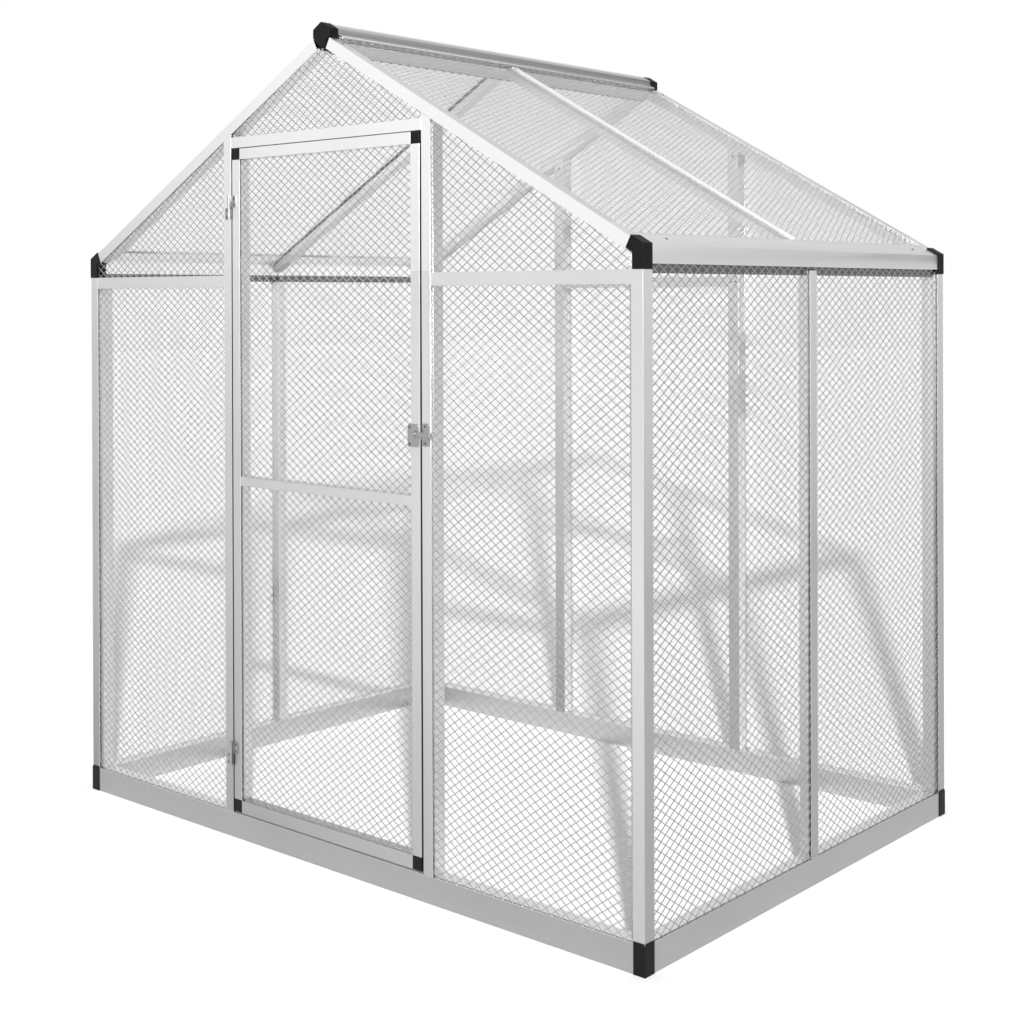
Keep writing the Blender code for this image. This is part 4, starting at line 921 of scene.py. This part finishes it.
def drive_screws(name, body, places):
    """Screws at these places, given as pairs of point and outward direction, as one piece."""
    settings = bpy.context.scene.aviary_screws
    steel = bpy.context.scene.aviary_finish.screw_steel
    look = bpy.data.materials.get("screw_steel") or zinc_shader("screw_steel", steel)
    template = bpy.data.objects.new("screw_template", screw_head(settings))
    bpy.context.scene.collection.objects.link(template)
    points = bpy.data.meshes.new(name)
    points.from_pydata([tuple(point) for point, facing in places], [], [])
    facings = points.attributes.new("facing", "FLOAT_VECTOR", "POINT")
    for item, (point, facing) in zip(facings.data, places):
        item.vector = facing
    piece = bpy.data.objects.new(name, points)
    bpy.context.scene.collection.objects.link(piece)
    tree = screw_tree(look)
    modifier = piece.modifiers.new("screws", "NODES")
    modifier.node_group = tree
    head_input = next(item for item in tree.interface.items_tree if item.name == "Head")
    modifier[head_input.identifier] = template
    graph = bpy.context.evaluated_depsgraph_get()
    mesh = bpy.data.meshes.new_from_object(piece.evaluated_get(graph))
    piece.modifiers.clear()
    piece.data = mesh
    mesh.name = name
    bpy.data.objects.remove(template)
    bpy.data.meshes.remove(points)
    settle(piece, body)


class AVIARY_OT_screws(bpy.types.Operator):
    """Drive the screws of the hinges, the latch, the rafters and the rails"""
    bl_idname = "aviary.screws"
    bl_label = "Screws"

    def execute(self, context):
        on_frame = []
        on_door = []
        for row in ("upper", "lower"):
            for leaf, places, edge, inset in (
                ("frame", on_frame, 0, HINGE_SCREW_INSET), ("door", on_door, 1, -HINGE_SCREW_INSET),
            ):
                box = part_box(f"hinge_{leaf}_leaf_{row}")
                x = box[edge].x + inset
                middle = box[0].z + HINGE_PLATE_HEIGHT / 2
                places += self.on_front(x, middle - HINGE_SCREW_STEP, middle + HINGE_SCREW_STEP)
        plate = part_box("latch_plate")
        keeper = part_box("latch_keeper")
        for (corner, far), x, places in (
            (plate, plate[0].x + LATCH_SCREW_INSET, on_door),
            (keeper, (keeper[0].x + keeper[1].x) / 2, on_frame),
        ):
            places += self.on_front(x, corner.z + LATCH_SCREW_INSET, far.z - LATCH_SCREW_INSET)
        for end_sign in ENDS.values():
            for sign in SIDES.values():
                outward = (sign * math.sin(ROOF_PITCH), 0, math.cos(ROOF_PITCH))
                for along, y in ((EAVE_SCREW_UP, EAVE_SCREW_Y), (RIDGE_SCREW_UP, FACE_Y - RAFTER_LIP / 2)):
                    on_frame.append((self.on_roof(sign, along, end_sign * y), outward))
        tie_middle = (EAVE_LOW + TIE_LOW) / 2
        for side in SIDES:
            near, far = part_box(f"rear_post_{side}")
            middle = (near.x + far.x) / 2
            for z in (tie_middle, SILL_TOP + SILL_SCREW_UP):
                on_frame.append(((middle, FACE_Y, z), BACKWARD))
            on_frame.append(((middle, near.y, far.z - POST_SCREW_DOWN), FORWARD))
            for x in (middle - TIE_SCREW_STEP, middle + TIE_SCREW_STEP):
                on_frame.append(((x, near.y, tie_middle), FORWARD))
        drive_screws("screws_frame", "root", on_frame)
        drive_screws("screws_door", "door", on_door)
        return {"FINISHED"}

    @staticmethod
    def on_front(x, *heights):
        """Screws one above the other on the face of a hinge or of the latch."""
        return [((x, -FITTING_FACE, z), FORWARD) for z in heights]

    @staticmethod
    def on_roof(sign, along, y):
        """A point on the roof's outer face, this far up the slope from the eave's edge."""
        return (sign * (FACE_X - along * math.cos(ROOF_PITCH)), y, EAVE_EDGE + along * math.sin(ROOF_PITCH))


class AVIARY_OT_stage(bpy.types.Operator):
    """Set the pale floor, the even light, the soft lamp and the camera"""
    bl_idname = "aviary.stage"
    bl_label = "Stage"

    def execute(self, context):
        settings = context.scene.aviary_stage
        half = settings.floor_size / 2
        floor_mesh = bpy.data.meshes.new("floor")
        corners_flat = rectangle(-half, half, -half, half)
        floor_mesh.from_pydata([(x, y, -FLOOR_BELOW) for x, y in corners_flat], [], [(0, 1, 2, 3)])
        floor = bpy.data.objects.new("floor", floor_mesh)
        context.scene.collection.objects.link(floor)
        floor_look = bpy.data.materials.new("floor_white")
        floor_look.use_nodes = True
        shader = floor_look.node_tree.nodes["Principled BSDF"]
        self.even_white(floor_look.node_tree, settings)
        shader.inputs["Roughness"].default_value = 1.0
        shader.inputs["Specular IOR Level"].default_value = 0.0
        floor_mesh.materials.append(floor_look)
        self.light(context, settings)
        self.camera(context, settings)
        context.scene.view_settings.view_transform = "Standard"
        return {"FINISHED"}

    def even_white(self, tree, settings):
        """The floor's colour and a lift for the camera keep it evenly white as the lamp grows distant.

        Level ground receives power / (2 pi) squared x height / distance from a lamp that doesn't fade.
        """
        reach = compare_vectors(tree, "DISTANCE", surface(tree, "Position"), LAMP_PLACE)
        slant = settings.lamp / (2 * math.pi) ** 2 * LAMP_PLACE[2]
        received = compute(tree, "ADD", compute(tree, "DIVIDE", slant, reach), settings.daylight)
        grey = compute(tree, "MINIMUM", compute(tree, "DIVIDE", 1.0, received), FLOOR_WHITE)
        missing = compute(tree, "SUBTRACT", 1.0, compute(tree, "MULTIPLY", received, grey))
        seen = add_node(tree, "ShaderNodeLightPath").outputs["Is Camera Ray"]
        lift = compute(tree, "MULTIPLY", compute(tree, "ADD", missing, settings.floor_lift), seen)
        colour = add_node(tree, "ShaderNodeCombineColor", {"Red": grey, "Green": grey, "Blue": grey})
        shader = tree.nodes["Principled BSDF"]
        shader.inputs["Emission Color"].default_value = (1, 1, 1, 1)
        tree.links.new(colour.outputs["Color"], shader.inputs["Base Color"])
        tree.links.new(lift, shader.inputs["Emission Strength"])

    def light(self, context, settings):
        """White for the camera, daylight for the object, a dimmer far side in the metal, and one lamp."""
        world = bpy.data.worlds.new("daylight")
        context.scene.world = world
        world.use_nodes = True
        tree = world.node_tree
        path = add_node(tree, "ShaderNodeLightPath").outputs
        direction = add_node(tree, "ShaderNodeTexCoord").outputs["Generated"]
        bright_side = Vector(BRIGHT_SIDE).normalized()
        mirrored = add_node(tree, "ShaderNodeMapRange", {
            "Value": compare_vectors(tree, "DOT_PRODUCT", direction, bright_side),
            "From Min": -1.0, "To Min": settings.far_mirror,
        })
        lit = add_node(tree, "ShaderNodeMix", {
            "Factor": path["Is Glossy Ray"], "A": settings.daylight, "B": mirrored.outputs["Result"]})
        strength = add_node(tree, "ShaderNodeMix", {
            "Factor": compute(tree, "MAXIMUM", path["Is Camera Ray"], path["Is Transmission Ray"]),
            "A": lit.outputs["Result"], "B": 1.0,
        })
        background = tree.nodes["Background"]
        background.inputs["Color"].default_value = (1, 1, 1, 1)
        tree.links.new(strength.outputs["Result"], background.inputs["Strength"])
        lamp_data = bpy.data.lights.new("soft_lamp", "POINT")
        lamp_data.energy = settings.lamp
        lamp_data.shadow_soft_size = settings.lamp_size
        lamp_data.use_nodes = True
        fall = add_node(lamp_data.node_tree, "ShaderNodeLightFalloff", {"Strength": 1.0})
        glow = lamp_data.node_tree.nodes["Emission"]
        lamp_data.node_tree.links.new(fall.outputs["Constant"], glow.inputs["Strength"])
        lamp = bpy.data.objects.new("soft_lamp", lamp_data)
        context.scene.collection.objects.link(lamp)
        lamp.location = LAMP_PLACE

    def camera(self, context, settings):
        camera_data = bpy.data.cameras.new("camera")
        camera_data.lens = settings.lens
        camera_data.sensor_width = SENSOR_WIDTH
        camera_data.shift_x, camera_data.shift_y = CAMERA_SHIFT
        camera = bpy.data.objects.new("camera", camera_data)
        context.scene.collection.objects.link(camera)
        camera.location = CAMERA_PLACE
        camera.rotation_euler = tuple(math.radians(angle) for angle in CAMERA_DEGREES)
        context.scene.camera = camera


STEPS = (
    AVIARY_OT_bars, AVIARY_OT_door_frame, AVIARY_OT_caps, AVIARY_OT_fittings, AVIARY_OT_mesh_gables,
    AVIARY_OT_mesh_sides, AVIARY_OT_mesh_door, AVIARY_OT_screws, AVIARY_OT_stage,
)


class AVIARY_PT_build(bpy.types.Panel):
    """Sizes and finishes of the aviary, and its making steps in order"""
    bl_idname = "AVIARY_PT_build"
    bl_label = "Aviary"
    bl_space_type = "VIEW_3D"
    bl_region_type = "UI"
    bl_category = "Aviary"

    def draw(self, context):
        for name in GROUPS:
            settings = getattr(context.scene, name)
            box = self.layout.box()
            for prop in settings.bl_rna.properties:
                if prop.identifier not in ("rna_type", "name"):
                    box.prop(settings, prop.identifier)
        for step in STEPS:
            self.layout.operator(step.bl_idname)


GROUPS = {
    "aviary_mesh": AviaryMesh, "aviary_finish": AviaryFinish,
    "aviary_screws": AviaryScrews, "aviary_stage": AviaryStage,
}


def register():
    for name, group in GROUPS.items():
        bpy.utils.register_class(group)
        setattr(bpy.types.Scene, name, PointerProperty(type=group))
    for made in (*STEPS, AVIARY_PT_build):
        bpy.utils.register_class(made)


def unregister():
    for made in (AVIARY_PT_build, *reversed(STEPS)):
        bpy.utils.unregister_class(made)
    for name, group in GROUPS.items():
        delattr(bpy.types.Scene, name)
        bpy.utils.unregister_class(group)


def main():
    register()
    for step in STEPS:
        family, name = step.bl_idname.split(".")
        getattr(getattr(bpy.ops, family), name)()


if __name__ == "__main__":
    main()
